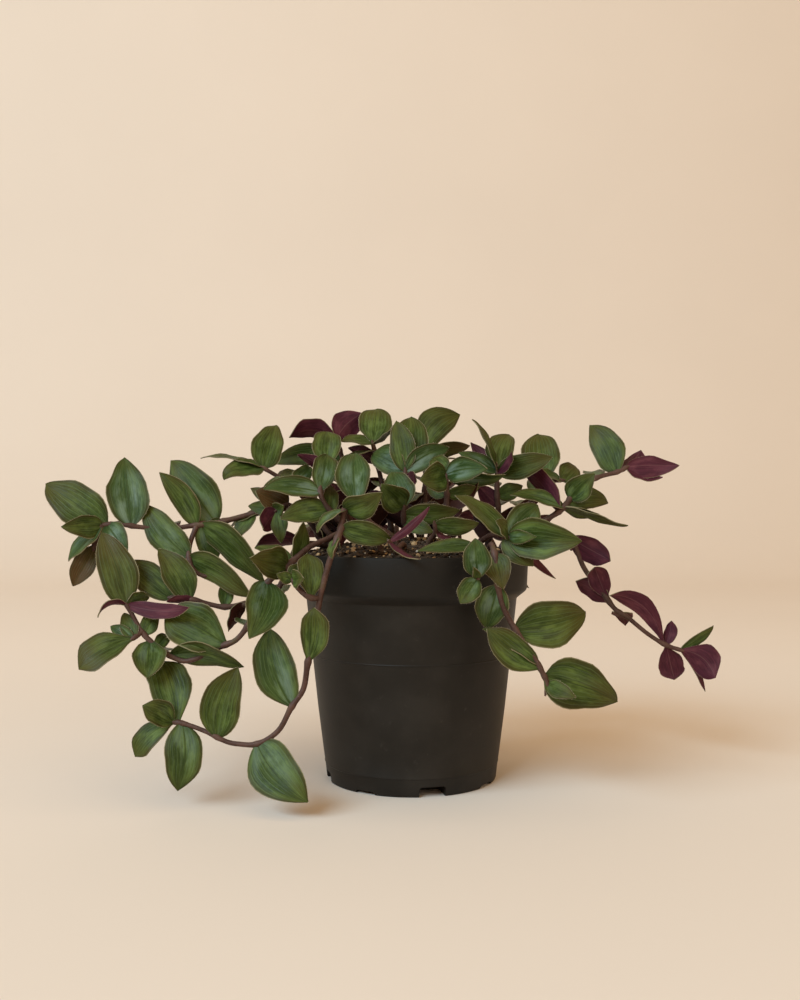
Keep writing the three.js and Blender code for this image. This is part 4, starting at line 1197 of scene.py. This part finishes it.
class PLANT_OT_stage(bpy.types.Operator):
    """Adds the camera, the seamless floor and wall, and the lights"""
    bl_idname = "plant.stage"
    bl_label = "Studio"

    def execute(self, context):
        settings = context.scene.plant_studio
        camera = bpy.data.cameras.new("view")
        camera.lens = settings.lens
        camera.sensor_width = SENSOR_WIDTH
        camera.clip_start, camera.clip_end = 0.01, 50
        eye = placed("view", camera)
        eye.location = VIEW_POINT * MM
        eye.rotation_euler = (math.pi / 2, 0, 0)
        context.scene.camera = eye
        context.scene.view_settings.view_transform = "Standard"
        self.backdrop(settings)
        for name, (place, aim, size, colour) in LIGHTS.items():
            lamp = bpy.data.lights.new(name, "AREA")
            lamp.shape = "RECTANGLE"
            lamp.size, lamp.size_y = size
            lamp.energy = getattr(settings, name + "_power")
            lamp.color = colour
            holder = placed(name, lamp)
            holder.location = place
            holder.rotation_euler = (Vector(aim) - Vector(place)).to_track_quat("-Z", "Y").to_euler()
        world = bpy.data.worlds.new("room")
        world.use_nodes = True
        shade = world.node_tree.nodes["Background"]
        shade.inputs["Color"].default_value = ROOM_COLOUR
        shade.inputs["Strength"].default_value = ROOM_STRENGTH
        context.scene.world = world
        return {"FINISHED"}

    def backdrop(self, settings):
        deselect()
        bpy.ops.mesh.primitive_plane_add(size=1)
        paper = named("backdrop")
        paper.scale = PAPER_SIZE
        paper.location = PAPER_MIDDLE
        bpy.ops.object.transform_apply(location=True, rotation=False, scale=True)
        choose_corners(paper, lambda vertex: vertex.co.y > 0)
        bpy.ops.mesh.extrude_region_move(TRANSFORM_OT_translate={"value": (0, PAPER_ONWARD, 0)})
        bpy.ops.mesh.extrude_region_move(TRANSFORM_OT_translate={"value": (0, 0, PAPER_RISE)})
        bpy.ops.object.mode_set(mode="OBJECT")
        corner = [abs(vertex.co.y - WALL_DISTANCE) + abs(vertex.co.z) < MM
                  for vertex in paper.data.vertices]
        weights = paper.data.attributes.new("bevel_weight_edge", "FLOAT", "EDGE")
        for edge in paper.data.edges:
            weights.data[edge.index].value = float(all(corner[index] for index in edge.vertices))
        apply_modifier(paper, "BEVEL", width=PAPER_CURVE, segments=24, limit_method="WEIGHT")
        smooth(paper, 60)
        paper.data.materials.append(paper_finish(settings.backdrop))


class PLANT_OT_pot(bpy.types.Operator):
    """Draws up the pot ring by ring and cuts its drainage channels"""
    bl_idname = "plant.pot"
    bl_label = "Pot"

    def execute(self, context):
        settings = context.scene.plant_pot
        pot = ring_shell("pot", self.profile(settings.ridge), settings.sides)
        middle = BASE_RADIUS - CHANNEL_LENGTH / 2
        roof = (CHANNEL_WIDTH + 2 * WALL, CHANNEL_LENGTH, CHANNEL_HEIGHT + WALL - ROOF_LIFT)
        channel = (CHANNEL_WIDTH, CHANNEL_LENGTH + 4 * OVERCUT, CHANNEL_HEIGHT + OVERCUT)
        for index in range(CHANNEL_COUNT):
            angle = -90 + CHANNEL_TURN + 360 / CHANNEL_COUNT * index
            combine(pot, block(roof, angle, middle - WALL, ROOF_LIFT), "UNION")
            for tool in (block(channel, angle, middle + 2 * OVERCUT, -OVERCUT, 1.3),
                         drill(angle, middle - 1.5),
                         block(NOTCH, angle + 180 / CHANNEL_COUNT, BASE_RADIUS, -OVERCUT, 1.2)):
                combine(pot, tool, "DIFFERENCE")
        smooth(pot, 32)
        pot.data.materials.clear()
        pot.data.materials.append(plastic_finish(settings.colour))
        settle(pot, "pot_plastic", "pot")
        pot.name = "nursery_pot"
        return {"FINISHED"}

    def profile(self, ridge):
        """Radius and height up the outside with its mould lines, over the lip and down the inside."""
        lip = RIM_RADIUS - WALL
        return [
            (BASE_RADIUS - 0.8, 0), (BASE_RADIUS - 0.2, 0.2), (BASE_RADIUS + 0.15, 0.9),
            (44.25, 8.6), (44.3 + ridge, 8.9), (44.35 + ridge, 9.2), (44.45, 9.5), (46.1, 22.0),
            (48.0, 37.0), (50.85, 63.3), (50.9 + ridge, 63.6), (50.95 + ridge, 63.9), (51.0, 64.2),
            (53.9, 91.6), (54.2, 92.4), (55.0, 93.0), (58.2, 95.6), (58.9, 96.4), (59.15, 97.4),
            (59.55, 106.0), (59.95, 114.0), (59.85, 114.6), (59.45, 114.95), (lip + 0.2, POT_HEIGHT),
            (lip - 0.1, 114.7), (58.0, 97.4), (52.8, 93.2), (46.8, 37.0), (42.3, 2.2),
        ]


class PLANT_OT_soil(bpy.types.Operator):
    """Fills the pot with uneven soil and scatters crumbs, grit and flecks over it"""
    bl_idname = "plant.soil"
    bl_label = "Soil"

    def execute(self, context):
        settings = context.scene.plant_soil
        edge = RIM_RADIUS - WALL - SOIL_GAP
        profile = [(42.0, 6.8), (46.3, 37.0), (52.0, 93.6), (edge - 1.0, 98.2), (edge - 0.15, 111.9)]
        profile += [(radius, soil_height(radius, 0)) for radius in SOIL_RINGS]
        bed = ring_shell("soil_bed", profile, SOIL_SIDES)
        for vertex in bed.data.vertices:
            place = vertex.co / MM
            if place.z > SOIL_FACE:
                swell = sum(noise.noise(place * fineness) * height for fineness, height in SOIL_HUMPS)
                fade = min(1.0, max(0.0, (edge + 0.4 - math.hypot(place.x, place.y)) / 3))
                vertex.co.z += (swell - 0.5) * fade * MM
        dark = tuple(settings.colour)
        bed.data.materials.append(earth_finish("damp_soil", dark, scaled(dark, 3.4), 420.0))
        chance = np.random.default_rng(SOIL_SEED)
        groups = [bed]
        for group, (finish, sizes, flatness, *colours, scale) in GRAINS.items():
            groups.append(self.scatter(group, getattr(settings, group), sizes, flatness, chance,
                                       earth_finish(finish, *colours, scale)))
        soil = joined("potting_soil", groups)
        smooth(soil, 50)
        settle(soil, "potting_soil", "soil")
        return {"FINISHED"}

    def scatter(self, name, count, sizes, flatness, chance, finish):
        deselect()
        bpy.ops.mesh.primitive_ico_sphere_add(subdivisions=1, radius=1)
        ball, faces = taken_apart()
        lumps = []
        for _ in range(count):
            reach = (RIM_RADIUS - WALL - GRAIN_GAP) * math.sqrt(chance.random())
            way = chance.random() * 2 * math.pi
            size = between(sizes, chance.random() ** 2)
            x, y = reach * math.cos(way), reach * math.sin(way)
            lump = ball * (1 + chance.normal(0, GRAIN_LUMPINESS, (len(ball), 1)))
            turn = np.linalg.qr(chance.normal(0, 1, (3, 3)))[0]
            lump = (lump * size) @ turn * np.array([1, 1, flatness])
            lumps.append(lump + np.array([x, y, soil_height(x, y) - GRAIN_SUNK + GRAIN_STANDS * size]))
        piece = modelled(name, np.vstack(lumps), repeated(faces, len(ball), count), finish)
        turn_faces_outwards(piece)
        return piece


class PLANT_OT_stems(bpy.types.Operator):
    """Grows every leafy stem: its rounded stem, its blades and its hairs"""
    bl_idname = "plant.stems"
    bl_label = "Leafy stems"

    def execute(self, context):
        settings = context.scene.plant_foliage
        blade_finishes = (upper_finish(settings.green), under_finish(settings.plum),
                          mottled("leaf_edge", 0.6, (90.0,), (0.42, 0.62), *MARGIN_COLOURS,
                                  Specular_IOR_Level=0.3))
        bark = bark_finish(settings.bark)
        hair = mottled("pale_hair", 0.7, (90.0,), (0.4, 0.6), *HAIR_COLOURS, Sheen_Weight=0.3)
        pattern = pattern_blade()
        order = np.lexsort(pattern[0].T[::-1])
        for number, growth in enumerate([*map(seen_stem, STEMS), *map(hidden_stem, HIDDEN_STEMS)]):
            name, blades = growth["name"], growth["blades"]
            chance = np.random.default_rng(FIRST_STEM_SEED + number)
            leaves, places = add_blades(name + "_blades", pattern, blades, chance.random((len(blades), 6)),
                                        settings.thickness, blade_finishes)
            parts = [leaves]
            hairs = [hair for one in places
                     for hair in edge_hairs(one, order, settings.hair_length, chance)]
            feet = [one["foot"] for one in blades]
            for index, line in enumerate(growth["lines"]):
                radius = settings.stem_radius * (TWIG_SHARE if index else 1)
                parts.append(add_stem(f"{name}_{index}", line, radius, feet, settings.node_swell, bark))
                hairs += stem_hairs(line, radius, settings.hair_length, chance)
            parts.append(add_hairs(name + "_hairs", hairs, hair))
            piece = joined(name.replace("stem_", "leafy_stem_"), parts)
            smooth(piece, 55)
            settle(piece, "foliage", name)
        return {"FINISHED"}


STEPS = (
    ("plant_studio", StudioSettings, PLANT_OT_stage),
    ("plant_pot", PotSettings, PLANT_OT_pot),
    ("plant_soil", SoilSettings, PLANT_OT_soil),
    ("plant_foliage", FoliageSettings, PLANT_OT_stems),
)


class PLANT_PT_panel(bpy.types.Panel):
    """Lists what builds the plant"""
    bl_label = "Potted plant"
    bl_idname = "PLANT_PT_panel"
    bl_space_type = "VIEW_3D"
    bl_region_type = "UI"
    bl_category = "Plant"

    def draw(self, context):
        for key, group, operator in STEPS:
            box = self.layout.box()
            for field in group.__annotations__:
                box.prop(getattr(context.scene, key), field)
            box.operator(operator.bl_idname)


def register():
    for key, group, operator in STEPS:
        bpy.utils.register_class(group)
        bpy.utils.register_class(operator)
        setattr(bpy.types.Scene, key, bpy.props.PointerProperty(type=group))
    bpy.utils.register_class(PLANT_PT_panel)


def unregister():
    bpy.utils.unregister_class(PLANT_PT_panel)
    for key, group, operator in reversed(STEPS):
        delattr(bpy.types.Scene, key)
        bpy.utils.unregister_class(operator)
        bpy.utils.unregister_class(group)


def main():
    register()
    bpy.ops.plant.stage()
    bpy.ops.plant.pot()
    bpy.ops.plant.soil()
    bpy.ops.plant.stems()


if __name__ == "__main__":
    main()
